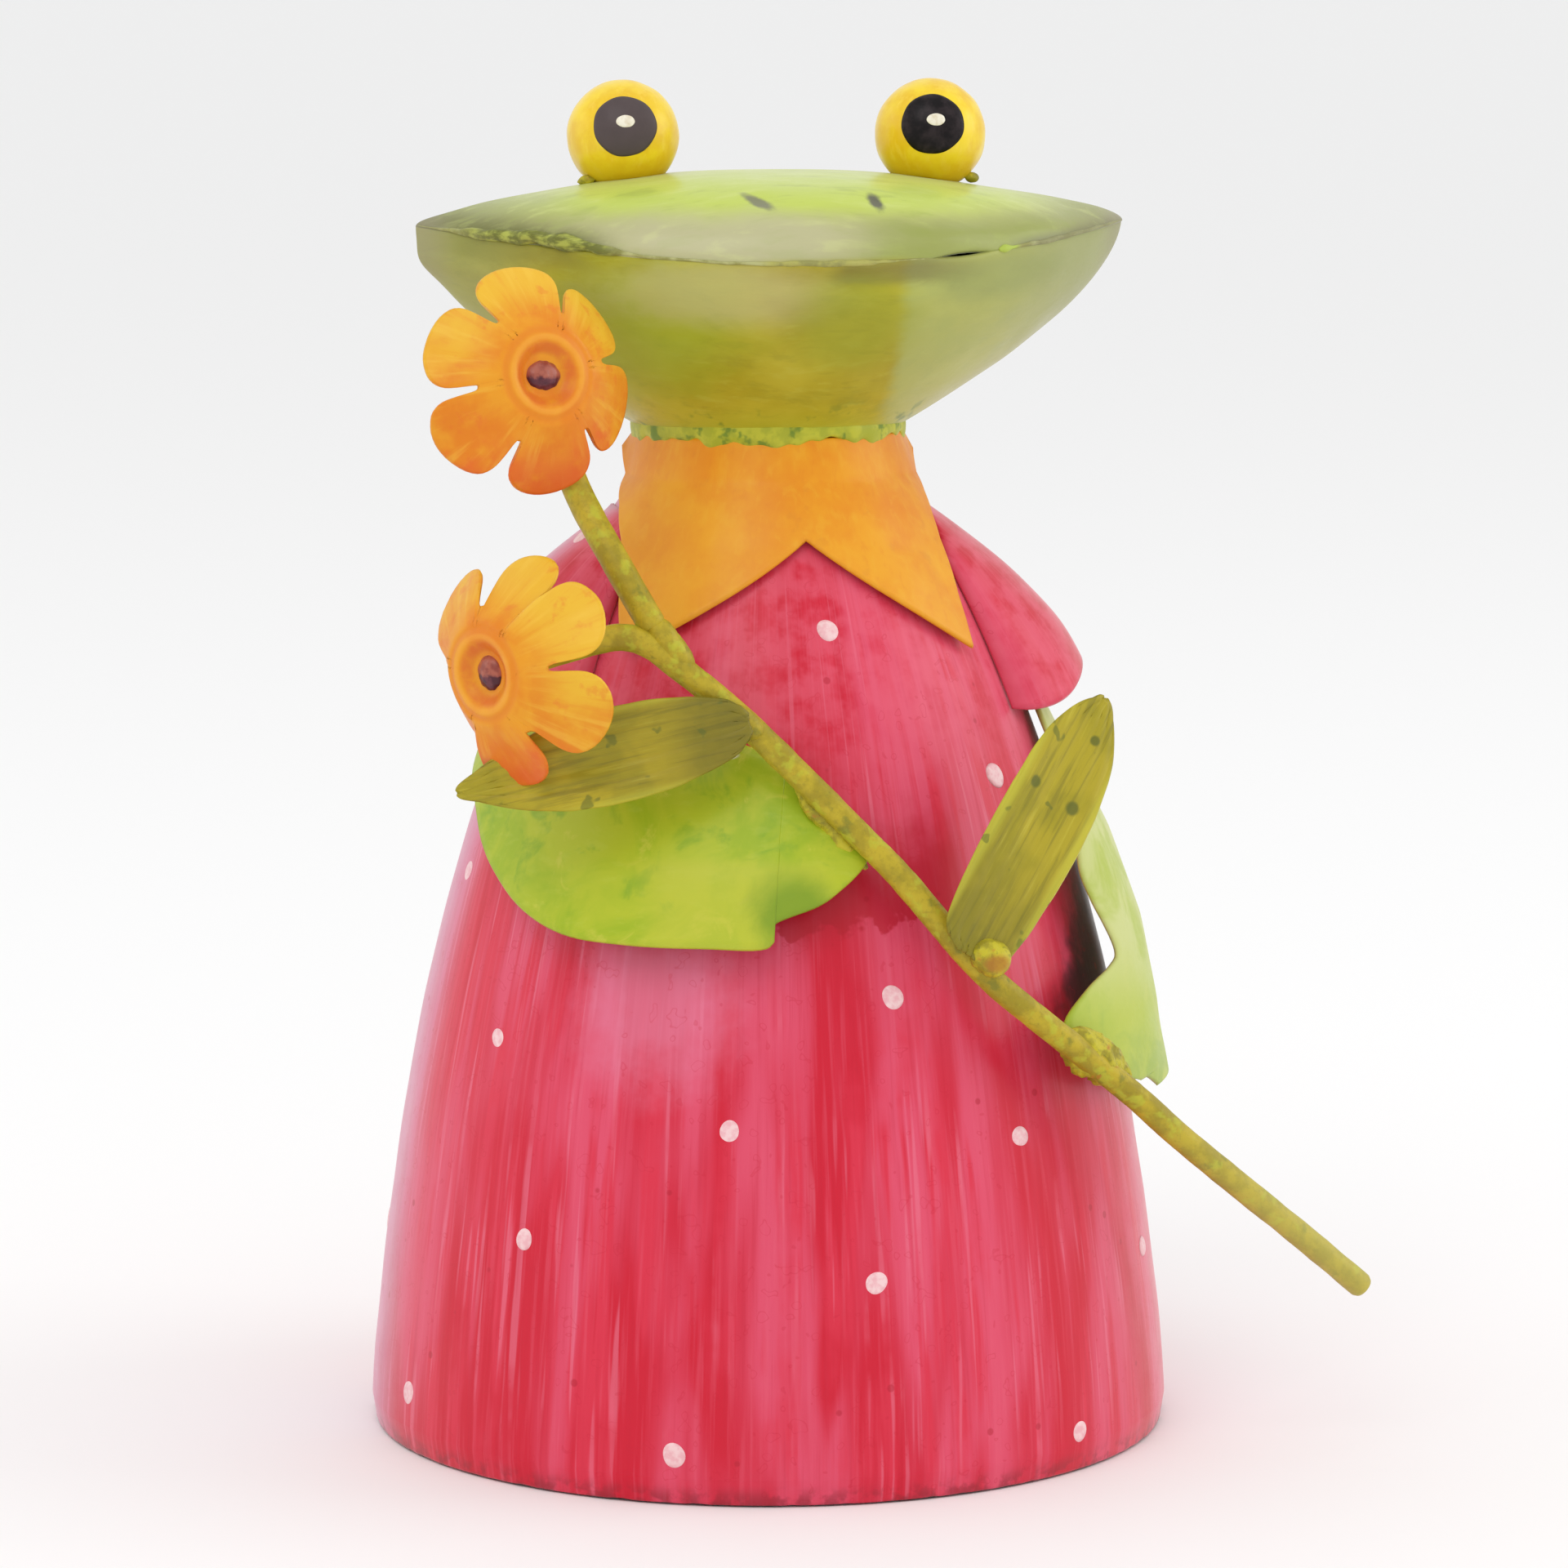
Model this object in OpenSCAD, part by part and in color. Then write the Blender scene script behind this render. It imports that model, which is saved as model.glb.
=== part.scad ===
// Frog in a bell dress, holding a flower stem. Rigid figurine of painted sheet metal and wire.
// Units are mm. The table is z = 0, the dress axis is Z, the frog looks along -Y.
// "left" and "right" are the frog's own sides: its right side is at -X.

/* [Part] */
// Sub-part to draw

/* [Dress] */
// Radius of the hem on the table
hem_r = 46.7; // [30:0.1:70]
// Largest radius of the skirt, just above the hem
skirt_r = 47.1; // [30:0.1:70]
// Height of the largest radius
skirt_z = 3; // [0:0.5:10]
// Radius of the neck
neck_r = 15; // [8:0.1:30]
// Height where the shoulders run into the neck
shoulder_z = 112; // [80:0.5:140]
// Height of the top of the neck
neck_top = 117.4; // [90:0.1:150]
// Thickness of the sheet metal
wall = 0.8; // [0.4:0.1:2]

/* [Head] */
// Half of the mouth's width
mouth_w = 41.8; // [20:0.1:60]
// Half of the head's depth
mouth_d = 22; // [10:0.5:40]
// How far the head sits in front of the neck
head_y = 3; // [0:0.5:10]
// Height of the corners of the mouth
corner_z = 140.9; // [100:0.1:180]
// How far the lips droop at the middle
lip_droop = 3.7; // [0:0.1:8]
// Height of the top of the lid
crown_z = 147; // [100:0.1:190]
// Radius of an eye ball
eye_r = 6.5; // [3:0.1:12]
// Distance of an eye from the middle of the pair
eye_x = 18.2; // [8:0.1:35]
// How far the pair of eyes sits towards the left
eye_shift = 0.9; // [-3:0.1:3]
// Height of the centre of an eye
eye_z = 151; // [120:0.1:190]

/* [Collar and sleeves] */
// Height of the collar's top edge
collar_top = 116; // [100:0.5:130]
// Thickness of the collar, arms, sleeves, petals and leaves
sheet = 0.6; // [0.3:0.1:1.5]
// How far a sleeve stands out at its cuff
cuff_out = 9.2; // [3:0.1:15]

/* [Flower stem] */
// Diameter of the main wire
wire_d = 3; // [1.5:0.1:5]
// Diameter of the branch wire
branch_d = 3.2; // [1.5:0.1:5]
// Radius of the upper flower over its petals, before they are swept back
upper_flower_r = 12.7; // [8:0.1:25]
// Radius of the lower flower over its petals, before they are swept back
lower_flower_r = 13.8; // [8:0.1:25]
// Number of petals
petals = 6; // [3:1:9]
// How far the petals are swept back, in degrees
petal_sweep = 34; // [0:1:50]
// Length of a leaf
leaf_len = 33; // [15:0.5:50]
// Half of a leaf's width
leaf_half = 5.2; // [2:0.1:10]

/* [Hidden] */
$fn = 48;
CLEAR = 0.3;              // collar to dress
WELD_FN = 24;
AROUND = 48;              // points around the head
SEAM_R = 0.7;             // radius of the soldered seams
GREEN = [0.62, 0.66, 0.24];
LIME = [0.72, 0.76, 0.38];
ORANGE = [0.90, 0.58, 0.18];
RED = [0.84, 0.27, 0.38];
YELLOW = [0.92, 0.79, 0.24];
BROWN = [0.45, 0.22, 0.18];
STEM_GREEN = [0.58, 0.57, 0.25];

// Outer profile of the dress: a cubic curve from the skirt to the neck.
dress_ctrl = [[skirt_r, skirt_z], [skirt_r, skirt_z + 0.5], [43.3, 76.4], [neck_r, shoulder_z]];
function bez(p, t) = pow(1 - t, 3) * p[0] + 3 * pow(1 - t, 2) * t * p[1]
    + 3 * (1 - t) * t * t * p[2] + pow(t, 3) * p[3];
PROFILE_N = 22;
outer_pts = [for (i = [0:PROFILE_N]) bez(dress_ctrl, i / PROFILE_N)];
dress_table = concat([[0, hem_r]], [for (p = outer_pts) [p[1], p[0]]], [[neck_top, neck_r]]);
function dress_r(z) = lookup(z, dress_table);

function on_dress(a, z, off) = let (r = dress_r(z) + off) [r * sin(a), -r * cos(a), z];
function flat_list(ll) = [for (l = ll) each l];
function mix(a, b, t) = a + (b - a) * t;
function unit(v) = v / norm(v);

// Waypoints of the wires, from the free end upwards.
stem_pts = [[64, -30, 18.4], [56.1, -31.5, 25.1], [48.3, -33, 31.5], [40.5, -35, 38],
    [35.3, -36.5, 42.7], [29.5, -38.3, 47.5],
    [22.1, -41, 53.4], [16.1, -42.3, 58.5], [11.5, -41.8, 63.7], [6.2, -40.7, 70.1],
    [1.8, -39.4, 74.7], [-2.5, -38, 79.2], [-8.8, -36.7, 85.6], [-13.3, -35.9, 89.8],
    [-17.8, -35.3, 93.5], [-20.5, -35, 95.6], [-23.2, -34.8, 96.7], [-27, -34.9, 96.4],
    [-37.5, -36.2, 93.8]];
branch_pts = [[-20.6, -34.6, 98.2], [-24.2, -31.8, 105.1], [-27.8, -27, 113.2], [-31.5, -27.4, 124.3]];
upper_flower_at = [-31.9, -31.6, 125.75];
upper_flower_turn = [11, 17, 36];        // elevation, azimuth, roll
lower_flower_at = [-39.4, -37, 93.4];
lower_flower_turn = [-3, -56, 34];

// Closed skin between two grids of points: a outside, b inside, row by row.
// cap_a and cap_b close the last row of a grid that goes all the way around.
module skin(a, b, rows, cols, wrap = false, cap_a = undef, cap_b = undef) {
    n = rows * cols;
    capped = cap_a != undef;
    last = wrap ? cols - 1 : cols - 2;
    function at(i, j) = i * cols + (j % cols);
    sides = [for (i = [0:rows - 2], j = [0:last]) each
        let (p = at(i, j), q = at(i, j + 1), r = at(i + 1, j + 1), s = at(i + 1, j))
        [[p, r, q], [p, s, r], [n + p, n + q, n + r], [n + p, n + r, n + s]]];
    first_edge = [for (j = [0:last]) each
        let (p = at(0, j), q = at(0, j + 1)) [[p, q, n + q], [p, n + q, n + p]]];
    last_edge = capped
        ? [for (j = [0:last]) each let (p = at(rows - 1, j), q = at(rows - 1, j + 1))
            [[p, 2 * n, q], [n + p, n + q, 2 * n + 1]]]
        : [for (j = [0:last]) each let (p = at(rows - 1, j), q = at(rows - 1, j + 1))
            [[p, n + q, q], [p, n + p, n + q]]];
    end_edges = wrap ? [] : [for (i = [0:rows - 2]) each
        let (p = at(i, 0), s = at(i + 1, 0), q = at(i, cols - 1), r = at(i + 1, cols - 1))
        [[p, n + s, s], [p, n + p, n + s], [q, r, n + r], [q, n + r, n + q]]];
    polyhedron(concat(a, b, capped ? [cap_a, cap_b] : []),
        concat(sides, first_edge, last_edge, end_edges), convexity = 8);
}

// Round wire along a smooth curve through the given points; taper thins its ends, as on a
// bead of solder.
WIRE_SIDES = 10;
function spline(p, i, t) = let (n = len(p) - 1, a = p[max(i - 1, 0)], b = p[i],
    c = p[min(i + 1, n)], d = p[min(i + 2, n)])
    0.5 * (2 * b + (c - a) * t + (2 * a - 5 * b + 4 * c - d) * t * t
    + (3 * b - a - 3 * c + d) * t * t * t);
function smooth(p, k) = concat([for (i = [0:len(p) - 2], s = [0:k - 1]) spline(p, i, s / k)],
    [p[len(p) - 1]]);
module wire(pts, r, k = 2, taper = 0) {
    path = smooth(pts, k);
    m = len(path);
    ring = [for (i = [0:m - 1]) let (
            d = unit(path[min(i + 1, m - 1)] - path[max(i - 1, 0)]),
            u = unit(cross(d, [0, 1, 0])), v = cross(d, u),
            thick = r * (1 - taper * pow(abs(2 * i / (m - 1) - 1), 3)))
        [for (s = [0:WIRE_SIDES - 1]) path[i] + thick * (u * cos(360 * s / WIRE_SIDES)
            + v * sin(360 * s / WIRE_SIDES))]];
    body = [for (i = [0:m - 2], s = [0:WIRE_SIDES - 1]) each
        let (p = i * WIRE_SIDES + s, q = i * WIRE_SIDES + (s + 1) % WIRE_SIDES)
        [[p, q, q + WIRE_SIDES], [p, q + WIRE_SIDES, p + WIRE_SIDES]]];
    ends = [[for (s = [WIRE_SIDES - 1:-1:0]) s],
        [for (s = [0:WIRE_SIDES - 1]) (m - 1) * WIRE_SIDES + s]];
    polyhedron(flat_list(ring), concat(body, ends), convexity = 8);
}

// ---- dress ----
module dress_shell() {
    inner = [for (i = [0:PROFILE_N]) let (
            p = outer_pts[i], q = outer_pts[min(i + 1, PROFILE_N)], o = outer_pts[max(i - 1, 0)],
            d = unit(q - o)) p + wall * [-d[1], d[0]]];
    color(RED) rotate_extrude($fn = 96) polygon(concat(
        [[hem_r - wall, 0], [hem_r, 0]], outer_pts, [[neck_r, neck_top]],
        [[neck_r - wall, neck_top]], [for (i = [PROFILE_N:-1:1]) inner[i]]));
}

// ---- collar: a bib around the front of the neck with two points ----
// Lower edge of the collar: angle and height. It wraps further round the frog's right side.
COLLAR_EDGE = [[-100, 115], [-85, 111], [-74, 108.8], [-63, 105.2], [-55, 99.5], [-50, 95],
    [-45, 93.8], [0, 106], [45, 93.2], [50, 99.6], [55, 105], [65, 110], [80, 114.6]];
COLLAR_TURN = [-100, 80];
module collar() {
    cols = 37;
    rows = 7;
    grid = function (off) [for (i = [0:rows - 1], j = [0:cols - 1]) let (
            a = mix(COLLAR_TURN[0], COLLAR_TURN[1], j / (cols - 1)),
            z = mix(lookup(a, COLLAR_EDGE), collar_top, i / (rows - 1)))
        on_dress(a, z, off + 0.6 * (1 - i / (rows - 1)))];
    color(ORANGE) skin(grid(CLEAR + sheet), grid(CLEAR), rows, cols);
}

// ---- head ----
JAW_FOOT = 0.4;            // how much wider the jaw is than the neck it sits on
function rim(f, cut) = [(mouth_w - cut) * cos(f),
    -head_y + ((mouth_d - cut) * sin(f) * sin(f) + 1.6 * abs(sin(f))) * sign(sin(f))];
function rim_z(f) = corner_z - lip_droop * sin(f) * sin(f);
module jaw_shell() {
    rows = 9;
    side = function (cut) [for (i = [0:rows - 1], j = [0:AROUND - 1]) let (
            f = 360 * j / AROUND, t = i / (rows - 1), out = 1 - pow(1 - t, 1.65),
            foot = (neck_r + JAW_FOOT - cut) * [cos(f), sin(f)], p = mix(foot, rim(f, cut), out))
        [p[0], p[1], mix(neck_top, rim_z(f), t)]];
    color(GREEN) skin(side(0), side(wall), rows, AROUND, wrap = true);
}
LID_ROWS = [1, 0.99, 0.96, 0.9, 0.8, 0.64, 0.44, 0.22, 0.08];
function lid_z(f, q) = rim_z(f) + (crown_z - rim_z(f))
    * sqrt(1 - pow(q, 2.2 + 0.4 * sin(f) * sin(f)));
module lid_shell() {
    rows = len(LID_ROWS);
    top = function (cut) [for (i = [0:rows - 1], j = [0:AROUND - 1]) let (
            f = 360 * j / AROUND, q = LID_ROWS[i], p = rim(f, cut))
        [p[0] * q, -head_y + (p[1] + head_y) * q, lid_z(f, q) - cut * min(1, i)]];
    color(LIME) skin(top(0), top(wall), rows, AROUND, wrap = true,
        cap_a = [0, -head_y, crown_z], cap_b = [0, -head_y, crown_z - wall]);
}
// Rough bead of solder along the lips, from one corner of the mouth to the other.
module mouth_seam() {
    pts = [for (f = [-165:10:-15]) let (p = rim(f, -SEAM_R - 0.05)) [p[0], p[1], rim_z(f)]];
    color(GREEN) wire(pts, SEAM_R, 2, 0.5);
}
module neck_seam() {
    color(GREEN) rotate_extrude($fn = 64) translate([neck_r + SEAM_R + 0.3, neck_top - 0.5])
        circle(SEAM_R, $fn = 20);
}
// Eye ball with a small flat where it sits on the lid.
EYE_FLAT = 4.2;
module eye(side) {
    color(YELLOW) translate([side * eye_x + eye_shift, -1, eye_z])
        rotate_extrude() intersection() {
        circle(eye_r, $fn = 64);
        translate([0, -EYE_FLAT]) square([eye_r, EYE_FLAT + eye_r]);
    }
}
module right_eye() { eye(-1); }
module left_eye() { eye(1); }
module eye_weld(side) {
    color(STEM_GREEN) translate([side * (eye_x + 5.3) + eye_shift, -2.6, lid_z(0, 0.56) + 0.5])
        sphere(0.55, $fn = WELD_FN);
}
module right_eye_weld() { eye_weld(-1); }
module left_eye_weld() { eye_weld(1); }

// ---- sleeves: cap sleeves that swell from the shoulder and are open below ----
SLEEVE_FRONT = [[0, 74], [0.25, 58], [1, 57]];
SLEEVE_BACK = [[0, 100], [0.25, 116], [1, 117]];
module sleeve(side) {
    cols = 17;
    rows = 9;
    grid = function (off) [for (i = [0:rows - 1], j = [0:cols - 1]) let (
            s = i / (rows - 1), t = j / (cols - 1), arch = sin(180 * t),
            a = mix(lookup(s, SLEEVE_FRONT), lookup(s, SLEEVE_BACK), t),
            z = mix(108.2, 85.4 + 4.5 * arch * arch, s),
            out = (cuff_out - sheet) * sin(90 * pow(s, 0.8)) * pow(arch, 0.7))
        on_dress(a, z, out + off)];
    color(RED) scale([side, 1, 1]) skin(grid(0.1), grid(0.1 + sheet), rows, cols);
}
module left_sleeve() { sleeve(1); }
module right_sleeve() { mirror([1, 0, 0]) sleeve(1); }

// ---- arms: flat cut-outs with a mitten hand, bent around the body ----
ARM_OFF = [[41, 3.6], [50, 4], [60, 4.2], [70, 3.4], [82, 1.3], [90, 0.1]];
HAND_OFF = [[62, 2.9], [76, 2.9], [84, 2.2], [91, 0.1]];
module blade(edge, off_table, cols) {
    rows = len(edge);
    grid = function (off) [for (e = edge, j = [0:cols - 1]) let (
            t = j / (cols - 1), a = mix(e[0], e[2], t), z = mix(e[1], e[3], t))
        on_dress(a, z, lookup(z, off_table) + off)];
    color(LIME) skin(grid(sheet), grid(0), rows, cols);
}
// Rows along the arm: angle and height of its front edge, then of its back edge.
LEFT_ARM = [[72, 90, 88, 90], [66, 84, 88, 84], [61, 78, 88, 78], [50, 68, 88, 68],
    [52.5, 62, 88, 62], [54, 57.6, 88, 57.6], [50, 56.4, 88, 56.2], [43, 54.7, 88, 54],
    [36, 51.5, 87, 51.5], [38, 48.5, 86, 48.8], [44, 45.6, 84, 46.4], [53, 43.2, 83, 44],
    [64, 41.2, 80, 41.8]];
RIGHT_ARM = [[-78, 91, -95, 90], [-72, 87.4, -92, 84], [-61, 85.6, -86, 78.5],
    [-50, 84.8, -76, 74.8], [-42, 84.5, -67, 70.5], [-36, 84.4, -55, 65.5], [-30, 84.4, -45, 63],
    [-24, 84.3, -34, 62.4], [-17, 83.6, -22, 62.4], [-9, 81.9, -12, 62.5], [-7, 81.2, -10.9, 65.3],
    [-3, 79.8, -4, 67], [2, 76.2, 2, 69.6], [4, 73.6, 4, 71.4]];
module left_arm() { blade(LEFT_ARM, ARM_OFF, 9); }
module right_arm() { blade(RIGHT_ARM, HAND_OFF, 7); }

// ---- flower stem ----
module main_stem() { color(STEM_GREEN) wire(stem_pts, wire_d / 2, 3); }
module branch_stem() { color(STEM_GREEN) wire(branch_pts, branch_d / 2, 3); }

RIVET_R = 2;
function petal_edge(f) = 0.62 + 0.38 * pow(abs(cos(petals * f / 2)), 0.45);
PETAL_ROWS = [0.15, 0.28, 0.34, 0.45, 0.58, 0.72, 0.86, 1];
function petal_drop(q, flower_r) = (q < 0.34 ? 1.3 * (0.34 - q) / 0.19 : 0)
    + max(0, q - 0.5) * flower_r * tan(petal_sweep);
module flower_disc(at, turn, flower_r) {
    cols = petals * 12;
    rows = len(PETAL_ROWS);
    grid = function (off) [for (q = PETAL_ROWS, j = [0:cols - 1]) let (
            f = 360 * j / cols, r = flower_r * q * mix(1, petal_edge(f), pow(q, 1.5)))
        [r * cos(f), r * sin(f), -petal_drop(q, flower_r) + off]];
    color(ORANGE) aim(at, turn) skin(grid(sheet), grid(0), rows, cols, wrap = true);
}
// Puts a piece that faces +Z at a place, facing the stated elevation and azimuth from -Y.
module aim(at, turn) {
    translate(at) rotate([0, 0, turn[1]]) rotate([90 - turn[0], 0, 0]) rotate([0, 0, turn[2]])
        children();
}
module rivet(at, turn) {
    color(BROWN) aim(at, turn) translate([0, 0, -1.3]) {
        rotate_extrude() intersection() {
            translate([0, -2.2]) circle(3.2, $fn = 40);
            square([RIVET_R, 2]);
        }
        translate([0, 0, -1.2]) cylinder(r = 1.3, h = 1.25, $fn = 32);
    }
}
module upper_flower() { flower_disc(upper_flower_at, upper_flower_turn, upper_flower_r); }
module lower_flower() { flower_disc(lower_flower_at, lower_flower_turn, lower_flower_r); }
module upper_rivet() { rivet(upper_flower_at, upper_flower_turn); }
module lower_rivet() { rivet(lower_flower_at, lower_flower_turn); }

// ---- leaves: blades with a shallow fold along the middle ----
module leaf(base, tip, half, face) {
    along = unit(tip - base);
    across = unit(cross(face, along));
    up = cross(along, across);
    cols = 5;
    rows = 11;
    grid = function (off) [for (i = [0:rows - 1], j = [0:cols - 1]) let (
            s = i / (rows - 1), t = mix(-1, 1, j / (cols - 1)),
            w = half * (0.25 + 0.75 * sin(180 * pow(s, 0.8)) ) * (s > 0.9 ? (1.02 - s) / 0.12 : 1))
        base + along * leaf_len * s + across * w * t
            + up * (off - 0.8 * (1 - t * t) * sin(180 * s) + 1.5 * sin(180 * s))];
    color(STEM_GREEN) skin(grid(sheet), grid(0), rows, cols);
}
module right_leaf() { leaf([-10.6, -39, 87.4], [-42.1, -34, 79.9], leaf_half, [-0.1, -1, 0.1]); }
module left_leaf() { leaf([13.6, -44.8, 62.3], [31, -34, 88.2], leaf_half + 0.7,
    [0.2, -1, 0]); }

// ---- solder that holds the stem, the hands and the leaves together ----
module bead(pts, r) {
    color(STEM_GREEN) wire(pts, r, 3, 0.55);
}
module branch_solder() { bead([[-20.3, -34.6, 98.6], [-18.9, -35, 96], [-16.4, -35.4, 93.4]], 2.3); }
module right_hand_solder() { bead([[-4.6, -36, 80], [-1, -37.2, 75.6], [3, -38.4, 70.6]], 1.3); }
module left_hand_solder() { bead([[25.4, -38.7, 51], [30.5, -36.6, 47.4], [34.6, -34.2, 43.8]], 2.4); }
module right_leaf_solder() { bead([[-12.4, -37.6, 89.2], [-10.8, -38, 87.4], [-8.4, -37.8, 85.4]], 1.6); }
module left_leaf_solder() { bead([[13, -44.2, 62.8], [15.2, -44.6, 61], [18, -44, 59.8]], 2); }

dress_shell();
collar();
jaw_shell();
lid_shell();
mouth_seam();
neck_seam();
right_eye();
left_eye();
right_eye_weld();
left_eye_weld();
right_sleeve();
left_sleeve();
right_arm();
left_arm();
main_stem();
branch_stem();
upper_flower();
lower_flower();
upper_rivet();
lower_rivet();
right_leaf();
left_leaf();
branch_solder();
right_hand_solder();
left_hand_solder();
right_leaf_solder();
left_leaf_solder();
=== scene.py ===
"""Painted sheet metal frog with a flower stem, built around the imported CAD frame."""
import math
import random

import bmesh
import bpy
import numpy as np
from mathutils import Matrix, Vector, noise


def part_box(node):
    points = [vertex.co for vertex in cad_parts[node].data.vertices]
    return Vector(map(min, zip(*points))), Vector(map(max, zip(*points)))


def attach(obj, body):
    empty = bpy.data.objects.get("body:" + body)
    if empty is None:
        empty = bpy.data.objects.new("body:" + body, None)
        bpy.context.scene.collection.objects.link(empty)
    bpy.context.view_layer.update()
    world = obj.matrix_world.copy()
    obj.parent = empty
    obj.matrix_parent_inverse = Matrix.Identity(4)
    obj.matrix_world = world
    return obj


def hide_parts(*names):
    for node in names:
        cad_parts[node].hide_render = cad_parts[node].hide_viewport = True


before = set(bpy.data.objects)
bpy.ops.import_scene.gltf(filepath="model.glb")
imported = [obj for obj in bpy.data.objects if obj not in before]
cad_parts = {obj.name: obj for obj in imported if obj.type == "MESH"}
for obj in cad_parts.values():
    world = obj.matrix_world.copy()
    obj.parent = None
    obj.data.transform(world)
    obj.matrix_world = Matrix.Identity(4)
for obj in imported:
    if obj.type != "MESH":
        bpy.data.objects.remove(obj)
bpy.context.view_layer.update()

MM = 0.001
BODY = "root"
SHEET = 0.6                      # thin sheet parts, mm
WALL = 0.8                       # dress and head, mm
BLADE = 0.5                      # leaves and petals, mm
EDGE_ROUND = 0.42                # how far a cut edge bulges, as a share of the thickness

# ---- sizes from the frame (mm)
dress_lo, dress_hi = (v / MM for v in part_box("dress_shell"))
jaw_lo, jaw_hi = (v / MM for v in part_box("jaw_shell"))
lid_lo, lid_hi = (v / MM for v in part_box("lid_shell"))
SKIRT_R = dress_hi.x
NECK_TOP = dress_hi.z
CROWN_Z = lid_hi.z
CORNER_Z = jaw_hi.z
LIP_DROOP = CORNER_Z - lid_lo.z
MOUTH_W = jaw_hi.x
HEAD_Y = (jaw_lo.y + jaw_hi.y) / 2
CORNER_ROUND = 1.6
MOUTH_D = (jaw_hi.y - jaw_lo.y) / 2 - CORNER_ROUND
HEM_R = SKIRT_R - 0.4
NECK_R = 15.0
SHOULDER_Z = 112.0


# ---- mesh helpers
def vnoise(p, freq, seed=0.0):
    """Smooth noise from -1 to 1 at a point in mm."""
    return noise.noise(Vector((p[0] * freq + seed, p[1] * freq - seed, p[2] * freq + 2 * seed)))


def make(name, verts, faces, slot, material, nodes=()):
    """Adds a closed smooth mesh, given in mm, as a piece of the figure."""
    mesh = bpy.data.meshes.new(name)
    mesh.from_pydata([tuple(c * MM for c in v) for v in verts], [], faces)
    bm = bmesh.new()
    bm.from_mesh(mesh)
    bmesh.ops.remove_doubles(bm, verts=bm.verts, dist=1e-6)
    bmesh.ops.dissolve_degenerate(bm, edges=bm.edges, dist=1e-7)
    bmesh.ops.recalc_face_normals(bm, faces=bm.faces)
    if bm.calc_volume(signed=True) < 0:
        bmesh.ops.reverse_faces(bm, faces=bm.faces)
    bm.to_mesh(mesh)
    bm.free()
    mesh.shade_smooth()
    obj = bpy.data.objects.new(name, mesh)
    bpy.context.scene.collection.objects.link(obj)
    mesh.materials.append(material)
    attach(obj, BODY)
    if nodes:
        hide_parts(*nodes)
    return obj


def circle(count):
    """Angles of evenly spaced points round a circle."""
    return [2 * math.pi * k / count for k in range(count)]


def bump(x, mid, wide):
    """1 at mid, falling off like a bell to both sides."""
    return math.exp(-((x - mid) / wide) ** 2)


def quads(rows, cols, start=0, wrap=True):
    """Corners of the faces between rows of points; wrap closes each row."""
    out = []
    for i in range(rows - 1):
        for k in range(cols if wrap else cols - 1):
            a, b = start + i * cols + k, start + i * cols + (k + 1) % cols
            out.append((a, b, b + cols, a + cols))
    return out


def ring_faces(sides, m):
    """Faces of a ring made of as many loops as sides, each of m points."""
    return [(a + k, b + k, b + (k + 1) % m, a + (k + 1) % m)
            for a, b in ((s * m, (s + 1) % sides * m) for s in range(sides)) for k in range(m)]


def grid_normals(p, wrap):
    """Unit normals of a grid of points, rows by columns."""
    if wrap:
        du = np.roll(p, -1, axis=1) - np.roll(p, 1, axis=1)
    else:
        du = np.gradient(p, axis=1)
    dv = np.gradient(p, axis=0)
    n = np.cross(du, dv)
    return n / np.maximum(np.linalg.norm(n, axis=2, keepdims=True), 1e-9)


def skin(p, thick, wrap=False, apex=False, middle=None):
    """Closed shell of sheet metal: p is its outer face, and its cut edges are rounded.

    The inner face doesn't cross the plane y = middle, where the shell ends in sharp corners."""
    rows, cols, _ = p.shape
    n = grid_normals(p, wrap)
    q = p - n * thick
    if middle is not None:
        away = p[:, :, 1] - middle
        side = np.sign(away)
        q[:, :, 1] = middle + side * np.maximum(side * (q[:, :, 1] - middle), 0.15 * abs(away))
    verts = list(p.reshape(-1, 3)) + list(q.reshape(-1, 3))
    half = rows * cols
    at = lambda i, j: i * cols + j % cols
    faces = []
    for f in quads(rows, cols, wrap=wrap):
        faces += [f, tuple(half + k for k in reversed(f))]
    if wrap:
        loops = [([(0, j) for j in range(cols)], 1)]
        if not apex:
            loops.append(([(rows - 1, j) for j in range(cols)], -1))
        inward = lambda i, j, s: (i + s, j)
    else:
        ring = ([(0, j) for j in range(cols - 1)] + [(i, cols - 1) for i in range(rows - 1)]
                + [(rows - 1, j) for j in range(cols - 1, 0, -1)]
                + [(i, 0) for i in range(rows - 1, 0, -1)])
        loops = [(ring, 0)]
        inward = lambda i, j, s: (min(max(i, 1), rows - 2), min(max(j, 1), cols - 2))
    for ring, step in loops:
        start = len(verts)
        for i, j in ring:
            a, b = inward(i, j, step)
            out = p[i, j] - p[a, b]
            out = out - n[i, j] * np.dot(out, n[i, j])
            out = out / max(np.linalg.norm(out), 1e-9)
            verts.append((p[i, j] + q[i, j]) / 2 + out * thick * EDGE_ROUND)
        m = len(ring)
        for k in range(m):
            a, b = at(*ring[k]), at(*ring[(k + 1) % m])
            c, d = start + k, start + (k + 1) % m
            faces.append((a, b, d, c))
            faces.append((c, d, half + b, half + a))
    if apex:
        for base in (0, half):
            centre = len(verts)
            grid = p if base == 0 else q
            verts.append(grid[rows - 1].mean(axis=0))
            for j in range(cols):
                faces.append((base + at(rows - 1, j), base + at(rows - 1, j + 1), centre))
    return verts, faces


def revolve(profile, sides, wobble):
    """Closed ring swept around Z: profile is a closed loop of (r, z)."""
    verts = [wobble([r * math.sin(a), -r * math.cos(a), z])
             for a in circle(sides) for r, z in profile]
    return verts, ring_faces(sides, len(profile))


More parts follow.
